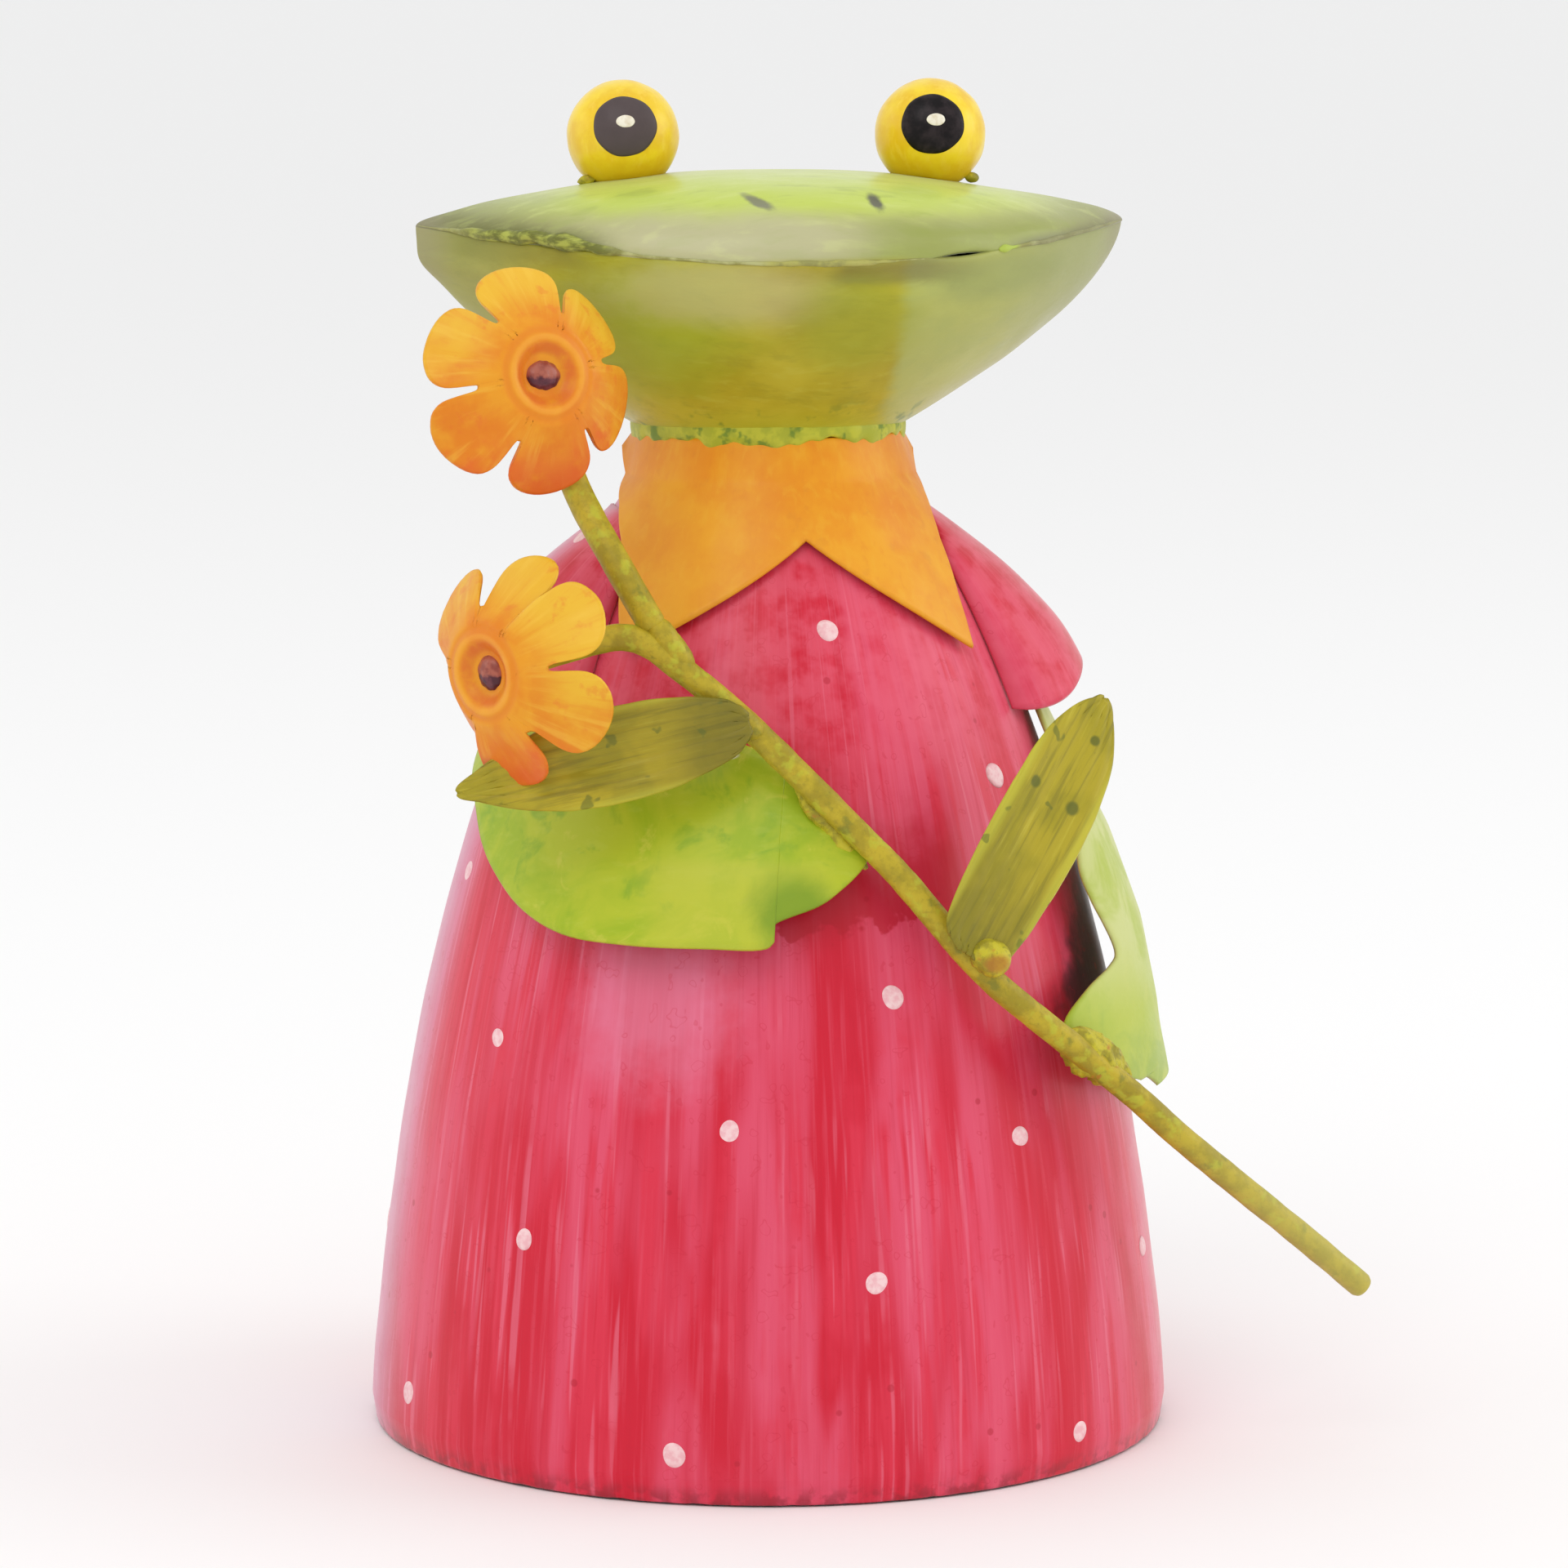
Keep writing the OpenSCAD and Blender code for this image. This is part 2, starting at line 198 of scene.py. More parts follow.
def spline(points, steps):
    """Smooth curve through points."""
    p = [Vector(q) for q in points]
    out = []
    for i in range(len(p) - 1):
        a, b, c, d = p[max(i - 1, 0)], p[i], p[i + 1], p[min(i + 2, len(p) - 1)]
        for s in range(steps):
            t = s / steps
            out.append(0.5 * (2 * b + (c - a) * t + (2 * a - 5 * b + 4 * c - d) * t * t
                              + (3 * b - a - 3 * c + d) * t ** 3))
    return out + [p[-1]]


def tube(path, radius, sides):
    """Closed wire or bead along a path; radius(s, angle, point) in mm, s runs from 0 to 1."""
    n = len(path)
    run = [0.0]
    for a, b in zip(path, path[1:]):
        run.append(run[-1] + (b - a).length)
    total = run[-1]
    side = Vector((0, 1, 0))
    verts = []
    for i, c in enumerate(path):
        d = (path[min(i + 1, n - 1)] - path[max(i - 1, 0)]).normalized()
        side = (side - d * side.dot(d)).normalized()
        up = d.cross(side)
        s = run[i] / total
        verts += [c + (side * math.cos(a) + up * math.sin(a)) * radius(s, a, c)
                  for a in circle(sides)]
    faces = quads(n, sides)
    for row, nxt in ((0, 1), (n - 1, n - 2)):
        d = (path[row] - path[nxt]).normalized()
        base = row * sides
        ring = [base + k for k in range(sides)]
        for shrink, lift in ((0.86, 0.30), (0.55, 0.48)):
            start = len(verts)
            for k in range(sides):
                ray = verts[base + k] - path[row]
                verts.append(path[row] + ray * shrink + d * ray.length * lift)
            for k in range(sides):
                k2 = (k + 1) % sides
                faces.append((ring[k], ring[k2], start + k2, start + k))
            ring = list(range(start, start + sides))
        tip = len(verts)
        verts.append(sum((verts[k] for k in ring), Vector()) / sides)
        for k in range(sides):
            faces.append((ring[k], ring[(k + 1) % sides], tip))
    return verts, faces


def ball(centre, radius, rings, sides, shape):
    """Closed round piece; shape(direction) gives the factor on the radius."""
    verts = [Vector((0, 0, -1))]
    for i in range(1, rings):
        e = math.pi * i / rings - math.pi / 2
        verts += [Vector((math.cos(e) * math.cos(a), math.cos(e) * math.sin(a), math.sin(e)))
                  for a in circle(sides)]
    verts.append(Vector((0, 0, 1)))
    faces = []
    top = len(verts) - 1
    for k in range(sides):
        k2 = (k + 1) % sides
        faces.append((0, 1 + k2, 1 + k))
        faces.append((top, top - sides + k, top - sides + k2))
        for i in range(rings - 2):
            a, b = 1 + i * sides + k, 1 + i * sides + k2
            faces.append((a, b, b + sides, a + sides))
    c = Vector(centre)
    return [c + v * radius * shape(v) for v in verts], faces


def join(parts):
    """One list of vertices and faces out of several."""
    verts, faces = [], []
    for v, f in parts:
        k = len(verts)
        verts += list(v)
        faces += [tuple(i + k for i in face) for face in f]
    return verts, faces


def facing(elevation, azimuth, roll):
    """Turns a piece that faces +Z to face an elevation and an azimuth counted from -Y."""
    return (Matrix.Rotation(math.radians(azimuth), 3, "Z")
            @ Matrix.Rotation(math.radians(90 - elevation), 3, "X")
            @ Matrix.Rotation(math.radians(roll), 3, "Z"))


def smooth_step(a, b, x):
    t = min(max((x - a) / (b - a), 0.0), 1.0)
    return t * t * (3 - 2 * t)


# ---- dress
DRESS_CURVE = ((SKIRT_R, 3.0), (SKIRT_R, 3.5), (43.3, 76.4), (NECK_R, SHOULDER_Z))


def dress_profile(count=150):
    """Points (r, z) of the Bezier curve from the hem to the shoulders."""
    pts = []
    for i in range(count + 1):
        t = i / count
        w = ((1 - t) ** 3, 3 * (1 - t) ** 2 * t, 3 * (1 - t) * t * t, t ** 3)
        pts.append(tuple(sum(w[k] * DRESS_CURVE[k][c] for k in range(4)) for c in (0, 1)))
    return pts


PROFILE_R, PROFILE_Z = zip((HEM_R, 0.0), *dress_profile(), (NECK_R, NECK_TOP))


def dress_r(z):
    return float(np.interp(z, PROFILE_Z, PROFILE_R))


def on_dress(deg, z, off=0.0):
    """Point on the dress, or off it by some mm, at an angle counted from the front."""
    a = math.radians(deg)
    r = dress_r(z) + off
    return np.array((r * math.sin(a), -r * math.cos(a), z))


def dress_normal(deg, z):
    a = math.radians(deg)
    slope = dress_r(z + 0.5) - dress_r(z - 0.5)
    return Vector((math.sin(a), -math.cos(a), -slope)).normalized()


def dress_mesh():
    """Bell with a rounded cut hem, open below, slightly dented by hand."""
    outer = [(HEM_R - 0.12, 0.05), (HEM_R, 0.3)] + dress_profile()
    outer += [(NECK_R, z) for z in np.linspace(SHOULDER_Z + 0.6, NECK_TOP, 8)]
    pts = np.array(outer)
    d = np.gradient(pts, axis=0)
    d /= np.linalg.norm(d, axis=1, keepdims=True)
    inner = pts + WALL * np.c_[-d[:, 1], d[:, 0]]
    inner[:, 1] = np.clip(inner[:, 1], 0.05, NECK_TOP)
    inner[-1] = (NECK_R - WALL, NECK_TOP)
    hem = [(HEM_R - WALL + 0.15, 0.0), (HEM_R - 0.3, 0.0)]
    loop = [tuple(v) for v in pts] + [tuple(v) for v in inner[::-1]][:-2] + hem

    def wobble(v):
        fade = smooth_step(0.5, 12, v[2]) * smooth_step(NECK_TOP, 100, v[2])
        k = 1 + fade * 0.22 * (vnoise(v, 0.035, 3) + 0.4 * vnoise(v, 0.11, 7)) / 40
        nick = 0.16 * max(0.0, vnoise(v, 0.5, 9)) if v[2] < 0.4 else 0.0
        return (v[0] * k, v[1] * k, v[2] + nick)

    return revolve(loop, 288, wobble)


# ---- collar
# lower edge of the collar, angle and height; it wraps further round the frog's right side
COLLAR_EDGE = ((-100, 115), (-85, 111), (-74, 108.8), (-63, 105.2), (-55, 99.5), (-50, 95),
               (-46, 93.6), (0, 106), (44.5, 93.2), (48, 99), (54, 105), (64, 110), (80, 114.6))
COLLAR_TOP = 116.8
COLLAR_FOLD = 101.5              # height where the collar leaves the hollow of the neck


def collar_mesh():
    knots = [e[0] for e in COLLAR_EDGE]
    angles = np.concatenate([np.linspace(a, b, max(3, int((b - a) * 1.1)))[:-1]
                             for a, b in zip(knots, knots[1:])] + [[knots[-1]]])
    rows = 40
    p = np.zeros((rows, len(angles), 3))
    low_r, high_r = dress_r(COLLAR_FOLD) + 1.0, NECK_R + 0.65
    for j, a in enumerate(angles):
        low = np.interp(a, knots, [e[1] for e in COLLAR_EDGE])
        for i in range(rows):
            t = i / (rows - 1)
            z = low + (COLLAR_TOP - low) * t
            lift = 0.15 + SHEET + 0.75 * (1 - t) + 0.25 * (1 - t) * abs(a) / 44
            # the sheet bridges the hollow where the neck meets the shoulders
            line = high_r + (low_r - high_r) * (COLLAR_TOP - z) / (COLLAR_TOP - COLLAR_FOLD)
            if z > COLLAR_FOLD:
                lift += 0.62 * max(0.0, line - dress_r(z) - lift) * smooth_step(95, 60, abs(a))
            lift += 0.12 * vnoise((a * 0.4, z, 0), 0.2, 5) * (1 - t)
            p[i, j] = on_dress(a, z, lift)
    return skin(p, SHEET)


# ---- head
def rim(f, cut=0.0):
    """Point of the lips in plan: a pointed oval."""
    s = math.sin(f)
    y = (MOUTH_D - cut) * s * s + CORNER_ROUND * abs(s)
    return (MOUTH_W - cut) * math.cos(f), HEAD_Y + math.copysign(y, s)


def rim_z(f):
    return CORNER_Z - LIP_DROOP * math.sin(f) ** 2


SLIT_X, SLIT_HALF, SLIT_HIGH = 17.8, 4.5, 0.62       # where the soldered lips gape
HEAD_COLS = 216


def slit_gape(x, y):
    if y > HEAD_Y:
        return 0.0
    return SLIT_HIGH * max(0.0, 1 - ((x - SLIT_X) / SLIT_HALF) ** 2)


def jaw_mesh():
    rows = 60
    p = np.zeros((rows, HEAD_COLS, 3))
    foot = NECK_R + 0.2
    for i in range(rows):
        t = (i / (rows - 1)) ** 0.9
        out = 1 - (1 - t) ** 1.65
        for j, f in enumerate(circle(HEAD_COLS)):
            rx, ry = rim(f)
            x = foot * math.cos(f) * (1 - out) + rx * out
            y = foot * math.sin(f) * (1 - out) + ry * out
            z = NECK_TOP + (rim_z(f) - NECK_TOP) * t
            dent = 0.34 * smooth_step(0, 0.25, t) * (vnoise((x, y, z), 0.07, 11)
                                                     + 0.4 * vnoise((x, y, z), 0.2, 4))
            lip = -0.6 * slit_gape(x, y) * smooth_step(0.85, 1, t)
            # the sheet is pinched under the lips, and folded over a little left of the middle
            fold = bump(x, 7.5, 9) if y < HEAD_Y else 0.0
            pinch = -0.5 * bump(t, 0.9, 0.06) * (0.4 + fold + vnoise((x, 0, 0), 0.16, 8))
            ridge = 0.35 * fold * smooth_step(0.94, 1.0, t)
            r = math.hypot(x, y - HEAD_Y) or 1
            k = (dent + (pinch + ridge) * abs(math.sin(f))) / r
            # the frog's right corner of the mouth is blunter
            cheek = 0.9 * bump(t, 0.83, 0.09) * max(0.0, -math.cos(f)) ** 6
            p[i, j] = (x + x * k - cheek, y + (y - HEAD_Y) * k, z + lip)
    return skin(p, WALL, wrap=True, middle=HEAD_Y)


def lid_z(f, q):
    """Height of the lid: f as for the rim, q runs from 0 at the crown to 1 at the rim."""
    corner = math.cos(f) ** 6
    nose = 0.8 * corner * math.sqrt(max(0.0, 1 - q ** 40)) * smooth_step(0.55, 0.95, q)
    rise = max(0.0, 1 - q ** 2.6) ** (0.5 + 0.72 * corner)
    return rim_z(f) + nose + (CROWN_Z - rim_z(f)) * rise


def lid_height(x, y):
    """Height of the lid over a point in plan."""
    lo, hi = min(0.999, abs(x) / MOUTH_W + 1e-4), 1.0
    for _ in range(18):
        q = (lo + hi) / 2
        s = math.sqrt(max(0.0, 1 - (x / (q * MOUTH_W)) ** 2))
        if q * (MOUTH_D * s * s + CORNER_ROUND * s) < abs(y - HEAD_Y):
            lo = q
        else:
            hi = q
    f = math.acos(max(-1.0, min(1.0, x / (hi * MOUTH_W))))
    return lid_z(f, hi)


# painted nostrils in plan: one end, the other end, half width
NOSTRILS = ((-6.75, -18.7, -4.3, -22.2, 0.75), (7.95, -18.5, 8.3, -21.9, 0.8))


def lid_mesh():
    steps = np.cos(np.radians(np.linspace(0, 89, 60))) ** (2 / 2.2)
    p = np.zeros((len(steps), HEAD_COLS, 3))
    for i, q in enumerate(steps):
        for j, f in enumerate(circle(HEAD_COLS)):
            rx, ry = rim(f)
            x, y, z = rx * q, HEAD_Y + (ry - HEAD_Y) * q, lid_z(f, q)
            near = smooth_step(0.75, 0.97, q)
            dent = 0.22 * vnoise((x, y, z), 0.06, 21) * smooth_step(1, 0.9, q)
            brow = 0.35 * near * vnoise((x, 0, 0), 0.12, 2) * smooth_step(1, 0.985, q)
            lift = slit_gape(x, y) * smooth_step(0.93, 1, q)
            hole = 0.0
            for ax, ay, bx, by, wide in NOSTRILS:
                d = math.hypot(x - (ax + bx) / 2, y - (ay + by) / 2) / (wide + 0.8)
                hole -= 0.30 * math.exp(-d * d)
            p[i, j] = (x, y - brow * 0.5, z + dent + brow + lift + hole)
    return skin(p, WALL, wrap=True, apex=True, middle=HEAD_Y)


def mouth_mesh():
    """Solder along the lips: thick and lumpy near the right corner, thin elsewhere."""
    lumps = ((-35.0, 3.0, 0.42), (-30.5, 2.8, 0.62), (-26.5, 2.0, 0.60), (-23.0, 1.6, 0.40),
             (23.3, 0.8, 0.85), (2, 8.0, 0.20), (31, 4, 0.12))

    def strand(f0, f1):
        path = []
        for f in np.radians(np.arange(f0, f1, 0.4)):
            x, y = rim(f, -0.02)
            up = 0.15 + 0.75 * bump(x, -29, 7)
            path.append(Vector((x, y, rim_z(f) + up + 0.2 * vnoise((x, 0, 0), 0.25, 13))))

        def radius(s, a, c):
            r = 0.17
            for x, w, h in lumps:
                r += h * bump(c.x, x, w)
            ends = min(1.0, 9 * s, 9 * (1 - s))
            rough = 1 + 0.45 * vnoise(c + Vector((0, math.cos(a), math.sin(a))), 0.6, 3)
            return max(0.06, r * rough * (0.3 + 0.7 * ends))
        return tube(path, radius, 16)

    return join([strand(*run) for run in ((-208, -187), (-173, -72), (-57, -7), (7, 28))])


def neck_mesh():
    """Uneven solder fringe between the neck and the jaw."""
    sides, m = 260, 18
    verts = []
    for a in circle(sides):
        c = Vector((math.sin(a), -math.cos(a), 0))
        lump = 0.8 * vnoise(c * 16, 0.16, 17) + 0.7 * vnoise(c * 16, 0.5, 5)
        out = 0.42 + 0.10 * lump
        mid = c * (NECK_R + 0.66) + Vector((0, 0, NECK_TOP + 0.1))
        for b in circle(m):
            tall = max(1.0, 2.7 + 3.0 * lump) if math.sin(b) < 0 else 2.6
            verts.append(mid + (c * math.cos(b) + Vector((0, 0, 1)) * math.sin(b) * tall) * out)
    return verts, ring_faces(sides, m)


# ---- eyes
PUPIL, GLINT = 34.0, 9.4         # half angles


def eye_centre(node):
    lo, hi = (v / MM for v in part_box(node))
    r = (hi.x - lo.x) / 2
    return Vector(((lo.x + hi.x) / 2, (lo.y + hi.y) / 2, hi.z - r)), r


def eye_mesh(node):
    c, r = eye_centre(node)

    def shape(d):
        return min(1.0, 0.995 + 0.012 * vnoise(d * 6 + c, 0.5, 3))

    verts, faces = ball(c, r, 60, 90, shape)
    # the ball sits in a bed pressed into the lid
    for v in verts:
        v.z = max(v.z, lid_height(v.x, v.y) - 0.25)
    return verts, faces


def eye_patch(node, elevation, azimuth, half_angle, squash, lift, seed, drop=0.0):
    """Thin dab of paint on an eye ball."""
    c, r = eye_centre(node)
    turn = facing(elevation, azimuth, 0)
    rings, sides = 12, 72
    top, low = [], []
    for i in range(rings + 1):
        for a in circle(sides):
            edge = 1 + 0.012 * math.sin(3 * a + seed) + 0.008 * math.sin(7 * a + 2 * seed)
            e = math.radians(half_angle) * edge * i / rings
            x, y = math.sin(e) * math.cos(a), math.sin(e) * math.sin(a) * squash
            z = math.sqrt(max(0.0, 1 - x * x - y * y))
            h = lift * (1 - (i / rings) ** 4)
            top.append(c + turn @ Vector((x, y, z)) * (r + drop + h))
            low.append(c + turn @ Vector((x, y, z)) * (r - 0.12))
    n = len(top)
    faces = []
    for a, b, c, d in quads(rings + 1, sides):
        faces += [(a, b, c, d), (n + a, n + d, n + c, n + b)]
    for k in range(sides):
        a, b = rings * sides + k, rings * sides + (k + 1) % sides
        faces.append((a, b, n + b, n + a))
    return top + low, faces


# ---- sleeves
SLEEVE_TOP = 108.2
CUFF_OUT = 9.2


def sleeve_point(side, s, t):
    """Outer face of a cap sleeve: s runs from the shoulder to the cuff, t from front to back."""
    front = np.interp(s, (0, 0.25, 1), (74, 58, 57))
    back = np.interp(s, (0, 0.25, 1), (100, 116, 117))
    arch = math.sin(math.pi * t)
    a = front + (back - front) * t
    cuff = 85.4 + 4.5 * arch * arch
    z = SLEEVE_TOP + (cuff - SLEEVE_TOP) * s
    out = (CUFF_OUT - SHEET) * math.sin(math.pi / 2 * s) * arch ** 0.6
    out += SHEET * 0.9 + 0.14 * arch * vnoise((side * a * 0.3, z, 0), 0.2, 31)
    v = on_dress(a, z, out)
    return np.array((side * v[0], v[1], v[2]))


def sleeve_mesh(side):
    p = np.array([[sleeve_point(side, s, t) for t in np.linspace(0, 1, 56)]
                  for s in np.linspace(0, 1, 40)])
    return skin(p[::-1] if side > 0 else p, SHEET)


# ---- arms
# how far the arms stand off the dress, by height
ARM_OFF = ((41, 3.6), (50, 4.0), (60, 4.2), (70, 3.4), (82, 1.3), (90, 0.1))
# rows along an arm: angle and height of one edge, then of the other
LEFT_ARM = ((72, 90, 88, 90), (66, 84, 88, 84), (61, 78, 88, 78), (55, 72.6, 88, 72.6),
            (50.5, 68, 88, 68), (51, 64.4, 88, 64.4), (53, 60.8, 88, 60.8),
            (54.6, 57.8, 88, 57.6), (51.5, 56.6, 88, 56.2), (43.5, 54.9, 87.6, 54.2),
            (36.6, 52, 87, 51.8), (37.4, 49, 86, 49), (42, 46.4, 84.6, 46.6),
            (52, 43.6, 83.4, 44.2), (58, 43.1, 82.6, 43.1), (64, 41.3, 80, 41.8))
RIGHT_ARM = ((-78, 91, -95, 90), (-72, 87.4, -92, 84), (-61, 85.6, -86, 78.5),
             (-50, 84.8, -76, 74.8), (-42, 84.5, -67, 70.5), (-36, 84.4, -55, 65.5),
             (-30, 84.4, -45, 63), (-24, 84.3, -34, 62.4), (-17, 83.6, -22, 62.4),
             (-9.4, 82, -12.2, 62.5), (-8.2, 81.6, -11.2, 65.0), (-3, 79.8, -4, 67),
             (0.6, 77.4, 0, 68.8), (3.2, 75, 3.2, 70.6), (4.2, 73.4, 4.2, 71.8))


def arm_mesh(edges, flip):
    """Sheet bent round the dress between two edges; flip turns its outer face outwards."""
    a, b = (spline([(e[k], e[k + 1], 0) for e in edges], 7) for k in (0, 2))
    zs, offs = zip(*ARM_OFF)
    cols = 26
    p = np.zeros((len(a), cols, 3))
    for i in range(len(a)):
        for j in range(cols):
            t = j / (cols - 1)
            deg = a[i].x + (b[i].x - a[i].x) * t
            z = a[i].y + (b[i].y - a[i].y) * t
            off = np.interp(z, zs, offs) + SHEET
            off += 0.16 * vnoise((deg * 0.6, z, 0), 0.16, 41) + 0.25 * math.sin(math.pi * t)
            p[i, j] = on_dress(deg, z, off)
    return skin(p[::-1] if flip else p, SHEET)


# ---- stem, flowers, leaves
STEM = ((64, -30, 18.4), (56.1, -31.5, 25.1), (48.3, -33, 31.5), (40.5, -35, 38),
        (35.3, -36.5, 42.7), (29.5, -38.3, 47.5), (22.1, -41, 53.4), (16.1, -42.3, 58.5),
        (11.5, -41.8, 63.7), (6.2, -40.7, 70.1), (1.8, -39.4, 74.7), (-2.5, -38, 79.2),
        (-8.8, -36.7, 85.6), (-13.3, -35.9, 89.8), (-17.8, -35.3, 93.5), (-20.5, -35, 95.6),
        (-23.2, -34.8, 96.7), (-27, -34.9, 96.4), (-37.5, -36.2, 93.8))
BRANCH = ((-20.6, -34.6, 98.2), (-24.2, -31.8, 105.1), (-27.8, -27, 113.2),
          (-31.5, -27.4, 124.3))
WIRE_R = 1.5
BRANCH_R = 1.62
DISC_R = 13.4                    # flower before its petals are cut, mm
FLAT_R = 5.6                     # where the petals start to sweep back
RING_R = 4.2                     # pressed ring
SLOT = 0.60                      # where the slots between petals end, as a share of the reach
# at: middle, turn: elevation and azimuth it faces, petals: angle in the flower's own plane,
# length, and how far it is swept back in degrees
UPPER_FLOWER = dict(at=(-31.9, -31.6, 125.75), turn=(11, 17), seed=4, petals=(
    (-149, 13.3, 22), (-86, 12.5, 24), (-20, 12.4, 28), (38.5, 12.0, 30), (95, 12.3, 24),
    (164, 12.7, 22)))
LOWER_FLOWER = dict(at=(-39.4, -37.0, 93.4), turn=(-3, -56), seed=9, petals=(
    (-143, 10.6, 40), (-80, 12.7, 19), (-19, 13.6, 27), (34, 13.9, 27), (78, 12.0, 41),
    (127, 11.8, 26)))


def wire_mesh(points, r):
    def radius(s, a, c):
        return r * (1 + 0.035 * vnoise(c, 0.35, 2) + 0.02 * vnoise(c, 1.2, 6))
    return tube(spline(points, 14), radius, 26)


# half of a petal's outline: share of the way from the slot to its middle, share of its length
PETAL = ((0, 0.60), (0.05, 0.605), (0.085, 0.64), (0.105, 0.71), (0.12, 0.79), (0.15, 0.86),
         (0.23, 0.92), (0.36, 0.96), (0.55, 0.985), (0.8, 0.998), (1, 1.0))


def petal_columns(petals):
    """Angle, reach and sweep of each column round the flower's edge, in radians and mm."""
    half = spline([(f, r, 0) for f, r in PETAL], 2)
    out = []
    n = len(petals)
    for k, (mid, reach, sweep) in enumerate(petals):
        for other, flip in ((petals[k - 1], False), (petals[(k + 1) % n], True)):
            gap = (other[0] - mid + 180) % 360 - 180
            slot = mid + gap / 2
            slot_reach = SLOT * (reach + other[1]) / 2
            part = []
            for f, r, _ in half:
                share = smooth_step(0.0, 0.12, f)
                part.append((math.radians(slot + (mid - slot) * f),
                             slot_reach + (reach * r - slot_reach) * share,
                             (sweep + other[2]) / 2 + (sweep - other[2]) / 2 * share,
                             f))
            out += part[::-1][1:] if flip else part
    clean = [out[0]]
    for c in out[1:]:
        if abs(c[0] - clean[-1][0]) > 1e-4:
            clean.append(c)
    return clean[:-1] if abs((clean[-1][0] - clean[0][0]) % (2 * math.pi)) < 1e-4 else clean


def flower_mesh(at, turn, seed, petals):
    """Stamped disc: a dish with a raised rim round the rivet, and six slotted petals."""
    columns = petal_columns(petals)
    n = len(columns)
    start = columns[0][0]
    steps = np.concatenate([np.linspace(0.09, 0.46, 30), np.linspace(0.48, 1, 24)])
    p = np.zeros((len(steps), n, 3))
    m = facing(*turn, 0)
    for i, q in enumerate(steps):
        for j, (edge, reach, sweep, f) in enumerate(columns):
            spread = smooth_step(0.2, 0.7, q)
            even = start + 2 * math.pi * j / n
            turn_by = (edge - even + math.pi) % (2 * math.pi) - math.pi
            a = even + turn_by * spread
            r = q * (DISC_R + (reach - DISC_R) * spread)
            back = max(0.0, r - FLAT_R)
            drop = back * math.tan(math.radians(sweep)) * (1 + 0.045 * back)
            crown = 0.06 * back * math.cos(math.pi * f) - 0.02 * back
            ring = 0.32 * bump(r, RING_R, 0.6)
            dish = -0.85 * smooth_step(4.0, 2.3, r)
            x, y = r * math.cos(a), r * math.sin(a)
            ray = vnoise((math.cos(a) * 14, math.sin(a) * 14, seed), 1.0) * 0.07
            wob = 0.22 * vnoise((x, y, seed), 0.2, seed) * min(1.0, r / 6)
            z = ring + dish - drop + crown + ray * smooth_step(5, 9, r) + wob
            p[i, j] = Vector(at) + m @ Vector((x, y, z))
    return skin(p, BLADE, wrap=True)


def rivet_mesh(at, turn, seed, wide, high):
    """Flattened oval head on a short shank, in the middle of a flower."""
    m = facing(*turn, 0)
    base = Vector(at) + m @ Vector((0, 0, -0.75))

    def shape(d):
        v = m.transposed() @ d
        flat = 1 / math.sqrt((v.x / wide) ** 2 + (v.y / high) ** 2 + (v.z / 1.25) ** 2)
        return flat * (1 + 0.06 * vnoise(d * 3, 0.9, seed))
    head = ball(base, 1.0, 28, 40, shape)
    shank = tube([base + m @ Vector((0, 0, z)) for z in (-0.4, -1.0, -1.6)],
                 lambda s, a, c: 1.15, 20)
    return join([head, shank])


def leaf_mesh(base, tip, half, face, bow, curl, root, close, seed):
    """Blade with a fold along its middle and pressed lengthwise ribs.

    half is its half width, root the share of that at its base; it rounds off beyond close."""
    base, tip, face = Vector(base), Vector(tip), Vector(face)
    along = (tip - base).normalized()
    across = face.cross(along).normalized()
    up = along.cross(across)
    length = (tip - base).length
    rows, cols = 90, 37
    p = np.zeros((rows, cols, 3))
    for i in range(rows):
        s = 1 - (1 - i / (rows - 1)) ** 1.5
        w = half * (root + (1 - root) * math.sin(math.pi * min(1, s ** 0.86)))
        if s > close:
            w *= math.sqrt(max(0.0, 1 - ((s - close) / (1.0005 - close)) ** 2))
        if s < 0.07:
            w *= math.sqrt(max(0.0, 1 - (1 - s / 0.07) ** 2)) * 0.6 + 0.4
        w = max(w, 0.06)
        for j in range(cols):
            t = 2 * j / (cols - 1) - 1
            fold = -0.9 * (1 - abs(t)) ** 1.4 * math.sin(math.pi * min(1, s * 1.1))
            ribs = 0.07 * math.cos(t * 17 + 0.8 * vnoise((s * 3, t, seed), 1.0, seed))
            wave = 0.35 * vnoise((s * 2.2, t * 1.1, 0), 1.0, seed)
            lift = bow * math.sin(math.pi * s) + curl * s * s
            edge = 1 + 0.03 * vnoise((s * 9, t, 0), 1.0, seed + 3)
            p[i, j] = (base + along * length * s + across * w * t * edge
                       + up * (fold + ribs + wave + lift))
    return skin(p, BLADE)


def bead_mesh(points, r, seed, rough, sides=22, steps=14):
    """Lump of solder that tapers at both ends."""
    def radius(s, a, c):
        taper = max(0.12, 1 - abs(2 * s - 1) ** 2.6 * 0.8)
        side = Vector((math.cos(a), math.sin(a), 0)) * r
        return r * taper * (1 + rough * vnoise(c + side, 0.55, seed)
                            + 0.5 * rough * vnoise(c + side, 1.5, seed + 2))
    return tube(spline(points, steps), radius, sides)


